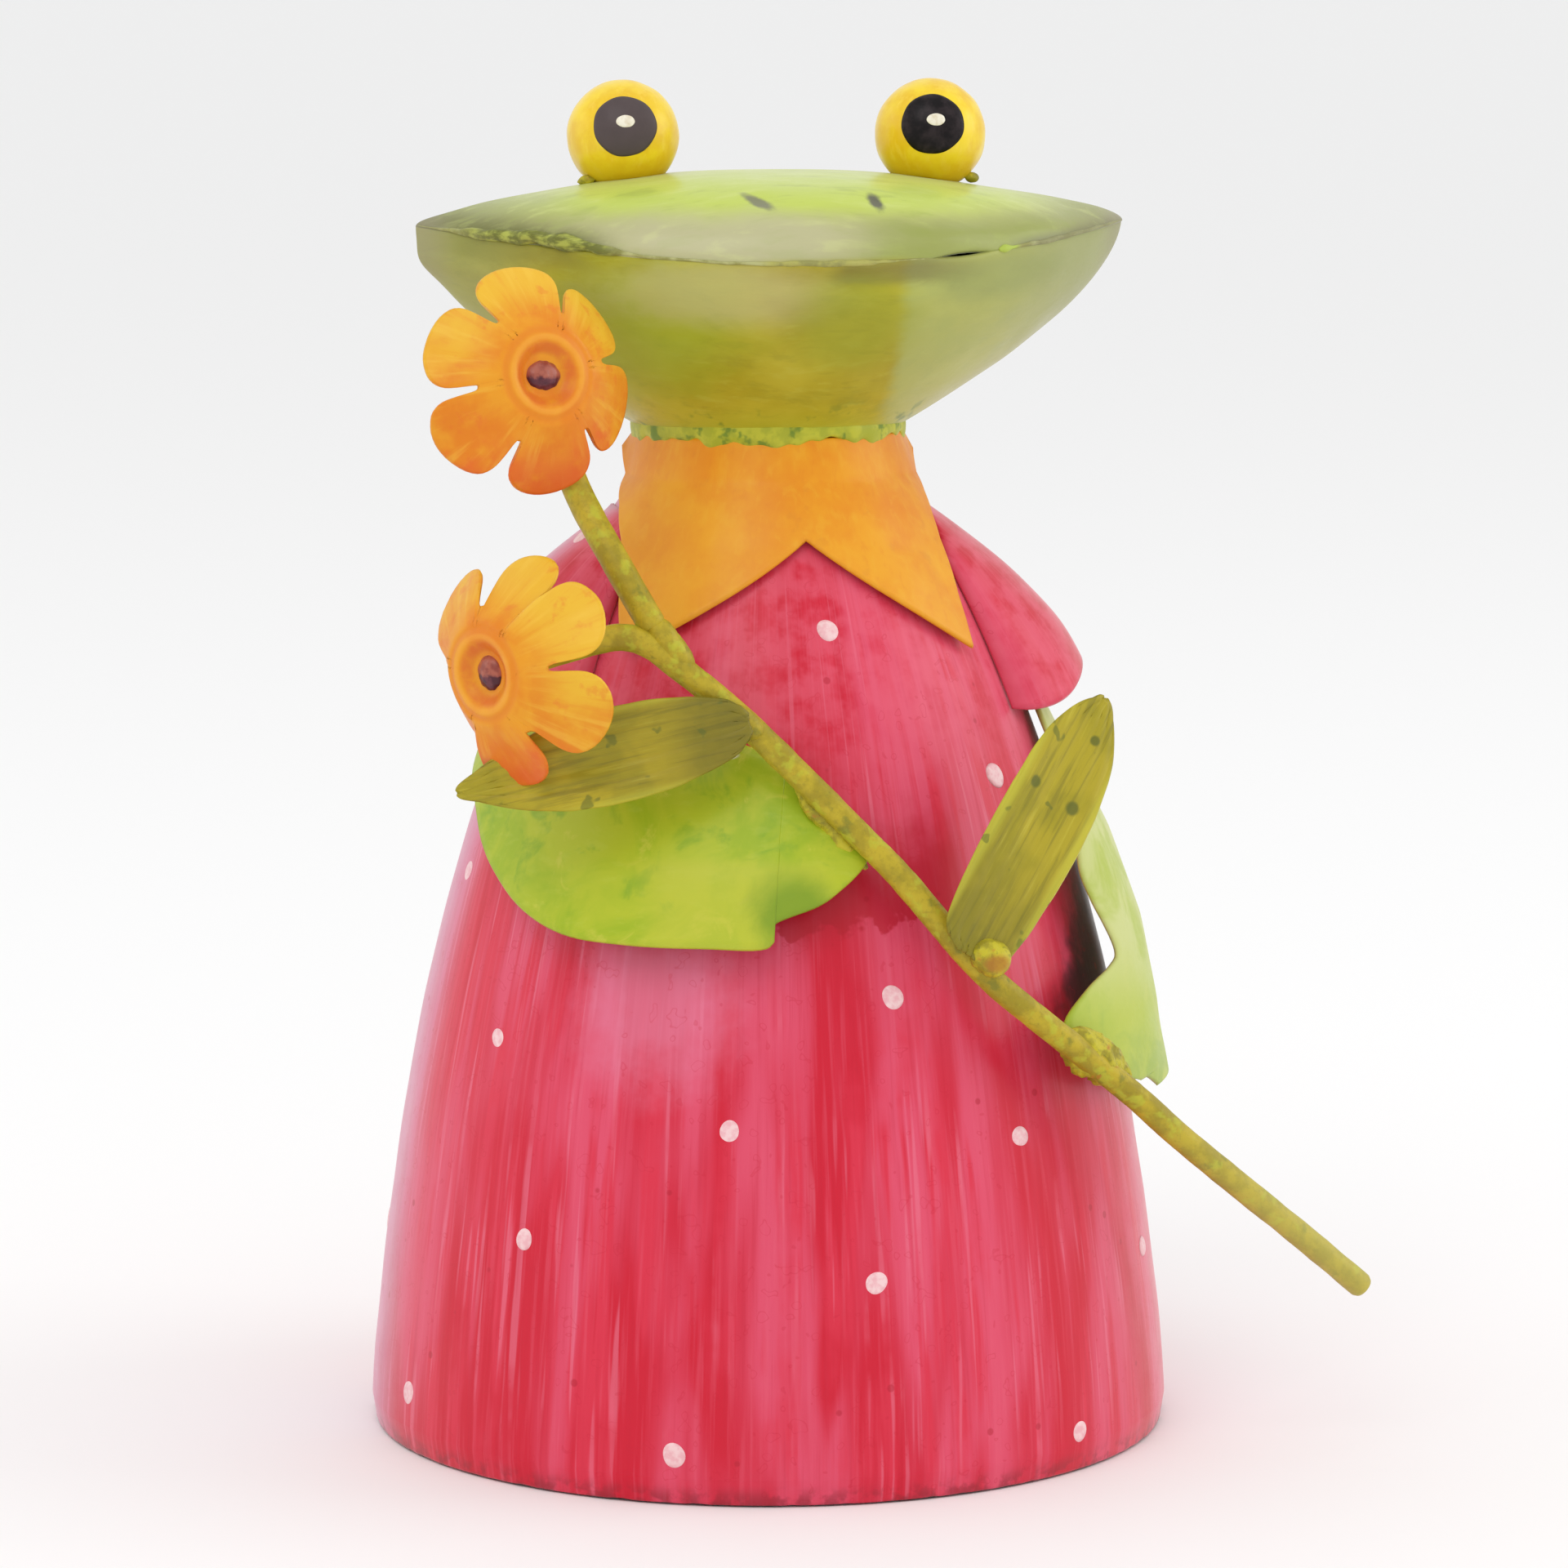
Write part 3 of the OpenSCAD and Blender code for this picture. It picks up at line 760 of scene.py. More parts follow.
# ---- dots
DOT_R = 1.5
DOT_HIGH = 0.16
DOTS = ((3.5, 95.9), (41.4, 78.7), (8.9, 55.9), (-61.2, 49.5), (-18, 41.7), (30, 39.1),
        (-50.4, 27.9), (3.6, 24.7), (-74.7, 7.0), (-25, 5.6), (37.2, 4.6), (-84.7, 66.4),
        (63.4, 22.0), (80, 52), (95, 12))
SLEEVE_DOTS = ((-1, 0.17, 0.43), (1, 0.45, 0.78))   # side, share down the sleeve, share round it


def dot_spots():
    """Front dots as listed, the back's dots by rule: staggered rows with a little scatter."""
    spots = list(DOTS)
    rng = random.Random(7)
    for row, z in enumerate((7, 24, 41, 58, 75, 92)):
        count = 5 if z > 70 else 6
        for k in range(count):
            a = 108 + (k + 0.5 * (row % 2)) * (144 / (count - 1 + 0.5))
            spots.append((a + rng.uniform(-5, 5), z + rng.uniform(-3, 3)))
    return spots


def dots_mesh():
    parts = []
    rng = random.Random(11)

    def dot(c, n, fit):
        """Round dab of paint: fit puts a point of its rim on the sheet under it."""
        side = Vector((0, 0, 1)).cross(n).normalized()
        up = n.cross(side)
        r = DOT_R * rng.uniform(0.85, 1.05)
        ph = rng.uniform(0, 6.28)
        rings, sides = 7, 30
        verts = [c + n * DOT_HIGH]
        for i in range(1, rings + 1):
            q = i / rings
            for a in circle(sides):
                e = r * q * (1 + 0.06 * math.sin(2 * a + ph) + 0.02 * math.sin(3 * a + 2 * ph))
                flat = c + side * e * math.cos(a) + up * e * math.sin(a)
                verts.append(fit(flat) + n * (DOT_HIGH * (1 - q ** 5) - 0.12 * q ** 8))
        verts.append(c - n * 0.35)
        faces = [(0, 1 + k, 1 + (k + 1) % sides) for k in range(sides)]
        faces += [(a, d, c, b) for a, b, c, d in quads(rings, sides, 1)]
        tail = len(verts) - 1
        base = 1 + (rings - 1) * sides
        faces += [(base + k, tail, base + (k + 1) % sides) for k in range(sides)]
        parts.append((verts, faces))

    def on_bell(v):
        return Vector(on_dress(math.degrees(math.atan2(v.x, -v.y)), v.z))

    for deg, z in dot_spots():
        dot(Vector(on_dress(deg, z)), dress_normal(deg, z), on_bell)
    for side, s, t in SLEEVE_DOTS:
        c, along, round_it = (Vector(sleeve_point(side, *st))
                              for st in ((s, t), (s + 0.02, t), (s, t + 0.02)))
        n = (along - c).cross(round_it - c).normalized()
        dot(c, n if n.z > 0 else -n, lambda v: v)
    return join(parts)


# ---- material helpers
def srgb(r, g, b):
    def lin(c):
        c /= 255
        return c / 12.92 if c <= 0.04045 else ((c + 0.055) / 1.055) ** 2.4
    return lin(r), lin(g), lin(b), 1.0


class Paint:
    """One procedural paint, on positions in mm: a base colour, then washes over it."""

    def __init__(self, name):
        self.mat = bpy.data.materials.new(name)
        self.mat.use_nodes = True
        self.nodes = self.mat.node_tree.nodes
        self.links = self.mat.node_tree.links
        self.bsdf = self.nodes["Principled BSDF"]
        coords = self.nodes.new("ShaderNodeTexCoord").outputs["Object"]
        self.p = self.scale(coords, 1 / MM)
        sep = self.nodes.new("ShaderNodeSeparateXYZ")
        self.links.new(self.p, sep.inputs[0])
        self.x, self.y, self.z = sep.outputs

    def put(self, socket, value):
        if isinstance(value, bpy.types.NodeSocket):
            self.links.new(value, socket)
        else:
            socket.default_value = value

    def add_node(self, kind, inputs, **settings):
        """Adds a node; inputs are given by index or name, settings are its own properties."""
        n = self.nodes.new("ShaderNode" + kind)
        for key, value in settings.items():
            setattr(n, key, value)
        for key, value in inputs.items():
            self.put(n.inputs[key], value)
        return n

    def scale(self, vec, k):
        return self.add_node("VectorMath", {0: vec, "Scale": k}, operation="SCALE").outputs[0]

    def vec(self, op, a, b=(0, 0, 0)):
        n = self.add_node("VectorMath", {0: a, 1: b}, operation=op)
        return n.outputs["Value" if op in ("DOT_PRODUCT", "LENGTH") else 0]

    def stretched(self, x, y, z):
        return self.vec("MULTIPLY", self.p, (x, y, z))

    def along(self, rel, axis):
        return self.vec("DOT_PRODUCT", rel, tuple(axis))

    def math(self, op, a, b=0.0):
        return self.add_node("Math", {0: a, 1: b}, operation=op).outputs[0]

    def mul(self, a, b):
        return self.math("MULTIPLY", a, b)

    def add(self, a, b):
        return self.math("ADD", a, b)

    def sub(self, a, b):
        return self.math("SUBTRACT", a, b)

    def sway(self, value, wave, amount):
        """A value that a noise from 0 to 1 moves by up to half the amount either way."""
        return self.add(value, self.mul(self.sub(wave, 0.5), amount))

    def join(self, x, y, z):
        return self.add_node("CombineXYZ", {0: x, 1: y, 2: z}).outputs[0]

    def noise(self, vec, freq, detail=3.0, rough=0.55, distort=0.0):
        return self.add_node("TexNoise", {"Vector": vec, "Scale": freq, "Detail": detail,
                                          "Roughness": rough, "Distortion": distort}).outputs["Fac"]

    def grain(self, freq, *look):
        return self.noise(self.p, freq, *look)

    def band(self, value, lo, hi):
        """0 below lo, 1 above hi, smooth between; falls instead if lo is above hi."""
        a, b, c, d = (lo, hi, 0, 1) if lo < hi else (hi, lo, 1, 0)
        return self.add_node("MapRange", {"Value": value, "From Min": a, "From Max": b, "To Min": c,
                                          "To Max": d}, interpolation_type="SMOOTHSTEP").outputs[0]

    def mix(self, fac, a, b):
        return self.add_node("Mix", {0: fac, 6: a, 7: b}, data_type="RGBA").outputs[2]

    def duo(self, value, lo, hi, a, b):
        """Colour a below lo and colour b above hi."""
        return self.mix(self.band(value, lo, hi), srgb(*a), srgb(*b))

    def base(self, *duo):
        self.c = self.duo(*duo)

    def where(self, *bands):
        """Product of masks; one given as (value, lo, hi) is a band."""
        out, *rest = (self.band(*b) if isinstance(b, tuple) else b for b in bands)
        for mask in rest:
            out = self.mul(out, mask)
        return out

    def wash(self, amount, tint, *bands):
        """Lays a coat of another colour over the paint so far, where the bands meet."""
        mask = self.where(*bands)
        if amount != 1:
            mask = self.mul(mask, amount)
        self.c = self.mix(mask, self.c, srgb(*tint))

    def over_lips(self):
        """Height over the line of the lips, in mm."""
        bow = self.mul(self.mul(self.x, self.x), LIP_DROOP / MOUTH_W ** 2)
        return self.sub(self.sub(self.z, bow), CORNER_Z - LIP_DROOP)

    def angle(self):
        """Degrees round the dress axis, 0 in front, growing towards the frog's left."""
        back = self.mul(self.y, -1.0)
        return self.mul(self.math("ARCTAN2", self.x, back), 180 / math.pi)

    def spot(self, u, v, u0, v0, ru, rv, soft=0.5, rough=None):
        """1 inside an ellipse in u and v, fading at its edge."""
        a = self.math("DIVIDE", self.sub(u, u0), ru)
        b = self.math("DIVIDE", self.sub(v, v0), rv)
        d = self.math("SQRT", self.add(self.mul(a, a), self.mul(b, b)))
        if rough is not None:
            d = self.sway(d, rough, 0.9)
        return self.band(d, 1 + soft / 2, 1 - soft / 2)

    def done(self, height, rough=(0.34, 0.5), bump=0.25, depth=0.12, coat=0.12, gloss=0.22,
             sheen=0.0):
        """Ends the paint: height is the relief that a brush left, in 0 to 1."""
        b = self.bsdf.inputs
        self.put(b["Base Color"], self.c)
        r = self.add(self.mul(self.grain(0.22, 3), 0.6), self.mul(self.grain(2.2, 2), 0.4))
        n = self.add_node("MapRange", {"Value": r, "From Min": 0.3, "From Max": 0.7,
                                       "To Min": rough[0], "To Max": rough[1]})
        self.put(b["Roughness"], n.outputs["Result"])
        for key, value in (("Specular IOR Level", gloss), ("Coat Weight", coat),
                           ("Coat Roughness", 0.22), ("Sheen Weight", sheen),
                           ("Sheen Roughness", 0.35)):
            b[key].default_value = value
        relief = self.add_node("Bump", {"Strength": bump, "Distance": depth * MM,
                                        "Height": height})
        self.links.new(relief.outputs["Normal"], b["Normal"])
        return self.mat


# ---- materials
def dress_paint():
    m = Paint("dress_paint")
    ring = m.vec("NORMALIZE", m.join(m.x, m.y, 0.0))

    def streak(across, along, detail, distort):
        v = m.vec("ADD", m.scale(ring, across), m.join(0.0, 0.0, m.mul(m.z, along)))
        return m.noise(v, 1.0, detail, 0.55, distort)

    broad, medium = streak(5.5, 0.022, 2, 0.3), streak(17, 0.028, 3, 0.2)
    fine, thin = streak(62, 0.05, 3, 0.0), streak(34, 0.03, 2, 0.0)
    cloud = m.grain(0.045, 4, 0.6)
    m.base(broad, 0.38, 0.62, (203, 20, 48), (219, 76, 104))
    m.wash(1, (214, 45, 70), (medium, 0.45, 0.62), (cloud, 0.35, 0.6))
    m.wash(0.42, (230, 122, 146), (thin, 0.585, 0.68), (cloud, 0.38, 0.58))
    m.wash(0.26, (226, 96, 120), (fine, 0.50, 0.74))
    m.wash(0.26, (190, 18, 46), (fine, 0.47, 0.28))
    deg = m.angle()
    wave = m.grain(0.30, 3)
    # painted highlight: a pale pink patch on the right of the skirt; and a paler upper bodice
    m.wash(0.55, (224, 128, 158), m.spot(deg, m.z, -31, 56, 12, 9, 1.2, wave))
    m.wash(0.55, (226, 92, 116), (m.z, 72, 92), (wave, 0.32, 0.62))
    # painted shade under the hand: a darker red with a wavy lower edge
    low = m.sway(m.z, wave, 9.0)
    m.wash(0.75, (186, 14, 38), (low, 63.0, 63.8), (low, 78, 69), (deg, -20, -14), (deg, 30, 22))
    # painted shadow, near black, on the dress where the arm hides it
    for at in ((82, 65, 17, 14), (71, 57, 19, 7.5), (60, 52, 15, 5.5)):
        m.wash(0.88, (66, 22, 34), m.spot(deg, m.z, *at, 0.6, wave))
    # painted sheen: a pale mauve reflection down the frog's right side, and a paler pink one low on
    # its left
    m.wash(0.55, (204, 150, 184), (deg, -74, -93), (deg, -128, -106))
    m.wash(0.40, (230, 150, 172), (deg, 58, 76), (deg, 116, 92), (m.z, 52, 44))
    # small drops and specks, and wear at the hem
    cells = m.add_node("TexVoronoi", {"Vector": m.p, "Scale": 0.16})
    m.wash(0.55, (176, 22, 44), (cells.outputs["Distance"], 0.085, 0.055))
    drop = m.math("ABSOLUTE", m.sub(m.grain(0.55, 1), 0.66))
    m.wash(0.28, (196, 24, 50), (drop, 0.022, 0.006))
    m.wash(0.6, (138, 34, 46), (m.z, 2.6, 0.4), (m.grain(0.5, 4), 0.42, 0.6))
    relief = m.add(m.mul(fine, 0.6), m.mul(medium, 0.5))
    return m.done(relief, (0.30, 0.44), 0.26, 0.10, sheen=0.22)


def plain_paint(name, freq, hi, a, b, rough, depth):
    """Small dabs of one colour: the dots and the glints."""
    m = Paint(name)
    n = m.grain(freq, 3)
    m.base(n, 0.35, hi, a, b)
    return m.done(n, rough, 0.2, depth)


def collar_paint():
    m = Paint("collar_paint")
    brush = m.noise(m.stretched(1.0, 1.0, 0.18), 0.7, 4, 0.6, 0.4)
    m.base(m.grain(0.075, 4, 0.6), 0.36, 0.64, (224, 134, 10), (231, 158, 22))
    m.wash(0.36, (233, 172, 42), (brush, 0.5, 0.72))
    m.wash(0.26, (216, 118, 14), (brush, 0.46, 0.3))
    m.wash(0.25, (206, 120, 30), (m.grain(0.4, 4), 0.6, 0.72))
    m.wash(0.35, (238, 176, 62), (m.add(m.mul(m.x, -0.5), m.mul(m.z, -1.0)), -118, -92))
    return m.done(brush, (0.36, 0.52), 0.25, 0.10)


def lid_paint():
    m = Paint("lid_paint")
    cloud = m.grain(0.06, 4, 0.6)
    brush = m.noise(m.stretched(0.25, 1.0, 1.0), 0.5, 4, 0.6, 0.3)
    above = m.over_lips()
    high = m.sway(m.z, cloud, 3.0)
    out = m.sway(m.math("ABSOLUTE", m.add(m.x, -1.5)), cloud, 16.0)
    # painted light: the lid is greyer low down, a painted reflection, and brighter lime on its top
    m.base(high, 140.8, 144.2, (170, 170, 112), (188, 204, 80))
    m.wash(0.72, (132, 134, 78), (out, 22, 37))
    m.wash(0.35, (206, 216, 126), (brush, 0.5, 0.7))
    m.wash(0.30, (142, 158, 56), (brush, 0.46, 0.3))
    # greener wash on the frog's left, and a painted reflection, a pale haze, in the middle of the
    # front
    m.wash(0.72, (142, 152, 66), (m.x, 2, 9), (m.x, 38, 28), (high, 143.0, 140.4))
    m.wash(0.42, (200, 194, 164), m.spot(m.x, m.z, -9, 140.2, 15, 2.8, 1.0, cloud), (m.y, 0, -8))
    # dark strokes along the seam near the right corner, a soft crease near the left one
    m.wash(0.75, (106, 108, 48), (above, 3.4, 1.2), (m.x, -20, -26), (brush, 0.28, 0.52))
    m.wash(0.55, (118, 114, 84), (above, 1.5, 0.3), (m.x, 22, 28))
    m.wash(0.5, (176, 172, 64), (above, 1.0, 0.2), (m.x, -8, -3), (m.x, 13, 8))
    m.wash(0.55, (150, 142, 120), (m.math("ABSOLUTE", m.x), 37, 41.5))
    for k, (ax, ay, bx, by, wide) in enumerate(NOSTRILS):
        run = math.hypot(bx - ax, by - ay)
        ux, uy = (bx - ax) / run, (by - ay) / run
        rel = m.vec("SUBTRACT", m.p, ((ax + bx) / 2, (ay + by) / 2, 0))
        dab = m.spot(m.along(rel, (ux, uy, 0)), m.along(rel, (-uy, ux, 0)), 0, 0, run / 2, wide,
                     0.9, m.grain(0.7, 2))
        m.wash(0.78 + 0.12 * k, (92 - 32 * k, 84 - 30 * k, 88 - 32 * k), dab)
    return m.done(brush, (0.30, 0.46), 0.3, 0.12, 0.3, sheen=0.2)


def jaw_paint():
    m = Paint("jaw_paint")
    blot = m.noise(m.stretched(0.5, 1.0, 1.3), 0.16, 5, 0.65, 0.5)
    brush = m.noise(m.stretched(0.22, 0.5, 1.0), 0.9, 4, 0.6, 0.3)
    below = m.mul(m.over_lips(), -1.0)
    uneven = m.sway(below, blot, 5.0)
    m.base(m.grain(0.05, 4, 0.6), 0.36, 0.64, (164, 150, 24), (186, 174, 46))
    m.wash(0.45, (136, 134, 28), (blot, 0.50, 0.70))
    m.wash(0.35, (190, 186, 70), (brush, 0.52, 0.72))
    m.wash(0.25, (130, 126, 26), (brush, 0.46, 0.32))
    # greener to the right of the middle and greyer in the corner
    m.wash(0.70, (150, 166, 30), m.spot(m.x, m.z, -20, 130, 12, 8, 1.0, blot))
    m.wash(0.65, (146, 154, 98), (m.x, -27, -37))
    # painted reflection of a light: the frog's left side is paler, with a soft upright edge
    side = m.sway(m.x, blot, 3.0)
    m.wash(0.70, (170, 180, 106), (side, 9.4, 12.0), (m.y, 9, -3))
    m.wash(0.60, (146, 150, 112), (side, 20, 36))
    # pale haze under the middle of the lips, then brown, olive and grey patches beside it; the
    # brown one is painted shade under the overhang of the lips
    m.wash(0.55, (186, 178, 124), m.spot(m.x, below, -10, 3.5, 13, 3.5, 1.0, blot), (m.y, 0, -8))
    m.wash(0.62, (112, 106, 62), (uneven, 3.6, 1.8), (m.x, 0.5, 4), (m.x, 24, 11), (m.y, 0, -8))
    m.wash(0.60, (144, 150, 28), m.spot(m.x, m.z, 5, 131, 7, 5, 1.0, blot), (m.y, 0, -8))
    m.wash(0.50, (138, 146, 88), m.spot(m.x, below, 23, 3.0, 8, 2.4, 1.0, blot), (m.y, 0, -6))
    m.wash(0.45, (118, 122, 50), (uneven, 3.4, 1.0), (m.x, -22, -27), (m.x, -42, -36))
    m.wash(0.5, (150, 142, 120), (m.math("ABSOLUTE", m.x), 37, 41.5))
    # lime at the neck, with green dabs
    m.wash(0.50, (178, 180, 46), (m.z, 121.5, 118))
    m.wash(0.70, (86, 120, 36), (m.grain(0.30, 3), 0.56, 0.66), (m.z, 122.5, 118.5))
    return m.done(m.add(brush, m.mul(blot, 0.6)), (0.34, 0.5), 0.35, 0.14, sheen=0.2)


def lip_paint():
    """Solder: the colour of the hazy lips, but dark olive where it is thick near the corner."""
    m = Paint("lip_paint")
    n = m.grain(0.5, 4, 0.6)
    haze = m.duo(n, 0.38, 0.62, (146, 144, 82), (178, 178, 120))
    fleck = m.noise(m.stretched(0.5, 1.0, 1.6), 0.8, 4, 0.6)
    rough = m.duo(fleck, 0.40, 0.66, (108, 112, 46), (170, 176, 78))
    m.c = m.mix(m.where((m.x, -40, -34), (m.x, -20, -24)), haze, rough)
    m.wash(0.6, (170, 164, 66), (m.x, -7, -5), (m.x, 12, 9), (n, 0.36, 0.56))
    m.wash(0.6, (128, 126, 92), (m.x, 26, 29))
    m.wash(0.7, (150, 148, 104), (m.math("ABSOLUTE", m.x), 38.5, 41))
    m.wash(1, (170, 188, 76), m.spot(m.x, m.z, 23.4, 138.8, 1.9, 2.2, 0.6))
    return m.done(n, (0.38, 0.6), 0.45, 0.22)


def neck_paint():
    m = Paint("neck_paint")
    n = m.grain(0.5, 3)
    m.base(n, 0.4, 0.6, (164, 168, 44), (184, 184, 50))
    m.wash(0.75, (84, 120, 36), (m.grain(0.40, 3), 0.54, 0.64))
    m.wash(0.9, (232, 222, 196), (m.grain(0.30, 1), 0.715, 0.73))
    return m.done(n, (0.4, 0.6), 0.4, 0.2)


def eye_paint():
    m = Paint("eye_paint")
    brush = m.noise(m.stretched(1, 1, 0.3), 1.1, 3)
    m.base(m.grain(0.25, 4), 0.36, 0.64, (232, 188, 16), (242, 210, 34))
    m.wash(0.35, (246, 214, 78), (brush, 0.5, 0.7))
    m.wash(0.40, (214, 164, 18), (m.z, 149.2, 147))
    return m.done(brush, (0.28, 0.42), 0.2, 0.08, 0.4)


def pupil_paint():
    m = Paint("pupil_paint")
    n = m.grain(0.7, 4)
    m.base(n, 0.35, 0.7, (20, 16, 18), (46, 38, 40))
    m.wash(0.72, (96, 84, 84), (m.x, 2, -8))
    return m.done(n, (0.3, 0.42), 0.2, 0.08, 0.05, 0.12)


def arm_paint():
    m = Paint("arm_paint")
    cloud = m.grain(0.10, 4, 0.62, 0.6)
    blot = m.grain(0.17, 5, 0.6, 0.8)
    fine = m.noise(m.stretched(0.4, 0.4, 1.0), 1.0, 4)
    m.base(cloud, 0.38, 0.6, (154, 178, 28), (176, 188, 40))
    m.wash(0.65, (116, 160, 30), (blot, 0.54, 0.70))
    m.wash(0.8, (192, 194, 62), (blot, 0.42, 0.32))
    m.wash(0.20, (190, 200, 74), (fine, 0.52, 0.7))
    # the palm is paler below, with a green smudge at its end and a chip at its top
    m.wash(0.55, (190, 192, 58), (m.x, -24, -19), (m.x, 0.5, -3.5), (m.z, 72.5, 70.5))
    m.wash(0.7, (92, 136, 22), m.spot(m.x, m.z, -5.6, 66, 4.5, 4.2, 0.9, blot))
    m.wash(0.85, (238, 226, 216), m.spot(m.x, m.z, -11.9, 82.9, 1.7, 0.55, 0.4), (m.y, -20, -30))
    # painted highlight: the frog's left arm is paler, most of all at its top
    side = m.band(m.x, 24, 34)
    m.wash(0.72, (184, 196, 82), side)
    m.wash(0.75, (206, 210, 142), side, (m.z, 50, 60), (cloud, 0.30, 0.55))
    m.wash(0.45, (140, 168, 60), side, (m.z, 50, 44), (blot, 0.4, 0.6))
    return m.done(m.add(fine, blot), (0.34, 0.5), 0.25, 0.12)


def stem_paint():
    m = Paint("stem_paint")
    fine = m.grain(1.6, 4, 0.65)
    m.base(m.grain(0.26, 4, 0.6), 0.38, 0.62, (158, 140, 34), (188, 166, 42))
    m.wash(0.30, (126, 116, 32), (fine, 0.5, 0.7))
    m.wash(0.55, (186, 190, 54), (m.grain(0.45, 3), 0.54, 0.66))
    m.wash(0.6, (112, 116, 40), (m.grain(0.38, 4), 0.60, 0.70))
    m.wash(0.45, (190, 184, 104), (m.z, 44, 24))
    return m.done(fine, (0.42, 0.62), 0.45, 0.18, 0.08)


def solder_paint():
    m = Paint("solder_paint")
    n = m.grain(0.4, 4, 0.6)
    fine = m.grain(1.3, 4, 0.65)
    m.base(n, 0.4, 0.6, (150, 138, 34), (194, 182, 42))
    m.wash(0.45, (104, 108, 34), (fine, 0.54, 0.66))
    m.wash(0.7, (176, 104, 34), (m.grain(0.42, 2), 0.60, 0.70))
    m.wash(0.75, (176, 112, 40), m.spot(m.x, m.z, 16.4, 60.6, 1.5, 1.1, 0.8, n))
    return m.done(fine, (0.36, 0.56), 0.5, 0.25)


def leaf_paint(name, base, tip, face, tint, shade, spots):
    """Streaked blade: spots are dark dabs, by place along it, place across it, and radius."""
    m = Paint(name)
    base, tip = Vector(base), Vector(tip)
    along = (tip - base).normalized()
    rel = m.vec("SUBTRACT", m.p, tuple(base))
    u, v = m.along(rel, along), m.along(rel, Vector(face).cross(along).normalized())
    lines = m.noise(m.join(m.mul(u, 0.07), m.mul(v, 1.15), 0.0), 1.0, 4, 0.6, 0.25)
    cloud = m.grain(0.14, 3)
    m.base(cloud, 0.38, 0.62, (156, 144, 32), tint)
    m.wash(0.50, (112, 106, 34), (lines, 0.48, 0.66))
    m.wash(0.45, (200, 188, 66), (lines, 0.44, 0.3))
    # darker towards the stalk, lime along the cut edges
    m.wash(shade, (94, 88, 30), (m.add(u, m.mul(cloud, 8)), 22, 6))
    m.wash(0.6, (196, 190, 60), (m.math("ABSOLUTE", v), 4.1, 5.2))
    m.wash(0.6, (88, 100, 36), (m.grain(0.33, 2), 0.66, 0.70))
    for at_u, at_v, r in spots:
        m.wash(0.85, (92, 98, 34), m.spot(u, v, at_u, at_v, r, r, 0.6, cloud))
    return m.done(lines, (0.4, 0.58), 0.45, 0.2, 0.1)


def flower_paint(name, at, turn, gold, ember):
    """Petals: yellow towards one side (gold) and red orange towards another (ember), degrees."""
    m = Paint(name)
    axes = facing(*turn, 0)
    rel = m.vec("SUBTRACT", m.p, tuple(at))
    plane = m.join(*(m.along(rel, axes @ Vector(way)) for way in ((1, 0, 0), (0, 1, 0))), 0.0)
    r = m.vec("LENGTH", plane)
    unit = m.vec("NORMALIZE", plane)

    def towards(deg):
        a = math.radians(deg)
        return m.along(unit, (math.cos(a), math.sin(a), 0))

    rays = m.noise(m.vec("ADD", m.scale(unit, 9), m.join(0.0, 0.0, m.mul(r, 0.12))), 1.0, 3, 0.55)
    cloud = m.grain(0.16, 4, 0.55, 0.3)
    blot = m.grain(0.34, 4, 0.6)
    m.base(cloud, 0.38, 0.62, (221, 126, 18), (227, 150, 28))
    m.wash(0.8, (232, 188, 50), (r, 5.5, 11.0), (m.add(towards(gold), cloud), 0.2, 1.3))
    m.wash(0.36, (238, 196, 70), (rays, 0.5, 0.68), (r, 5, 9))
    m.wash(0.35, (222, 122, 22), (rays, 0.45, 0.3), (r, 5, 9))
    m.wash(0.85, (220, 92, 34), (r, 6, 12), (m.add(towards(ember), blot), 0.95, 1.5))
    m.wash(0.38, (222, 104, 36), (blot, 0.57, 0.68), (r, 4.5, 8))
    # the pressed ring: painted shade in the dish, a painted highlight on the ridge and painted
    # shade in the groove round it
    m.wash(0.60, (214, 96, 40), (r, 3.9, 3.3), (r, 2.2, 2.9), (blot, 0.3, 0.6))
    m.wash(0.40, (236, 166, 60), (r, 3.7, 4.1), (r, 4.7, 4.3))
    m.wash(0.45, (216, 112, 26), (r, 4.4, 4.9), (r, 5.8, 5.1), (cloud, 0.35, 0.6))
    return m.done(m.add(rays, m.mul(cloud, 0.4)), (0.38, 0.56), 0.30, 0.12)


def rivet_paint(name, at):
    """Painted reflection: reddish brown above, dark purple below, with a wavy level edge between
    them.
    """
    m = Paint(name)
    n = m.grain(0.9, 4)
    top = m.duo(n, 0.38, 0.62, (140, 66, 54), (166, 92, 74))
    low = m.duo(n, 0.42, 0.66, (74, 26, 40), (104, 48, 58))
    m.c = m.mix(m.band(m.sway(m.z, n, 1.2), at[2] - 0.45, at[2] + 0.05), low, top)
    return m.done(n, (0.3, 0.45), 0.35, 0.15, 0.3)


# ---- pieces
def build_dress():
    make("dress", *dress_mesh(), "dress_paint", DRESS, ("dress_shell",))
    dot_paint = plain_paint("dot_paint", 1.4, 0.65, (240, 205, 206), (233, 178, 184), (0.4, 0.5),
                            0.1)
    make("dress_dots", *dots_mesh(), "dress_paint", dot_paint)
    make("collar_star", *collar_mesh(), "collar_paint", collar_paint(), ("collar",))
    for side, name in ((-1, "right_sleeve"), (1, "left_sleeve")):
        make(name + "_sheet", *sleeve_mesh(side), "dress_paint", DRESS, (name,))


def build_head():
    make("jaw", *jaw_mesh(), "head_paint", jaw_paint(), ("jaw_shell",))
    make("lid", *lid_mesh(), "head_paint", lid_paint(), ("lid_shell",))
    make("lips", *mouth_mesh(), "head_paint", lip_paint(), ("mouth_seam",))
    make("neck_bead", *neck_mesh(), "head_paint", neck_paint(), ("neck_seam",))


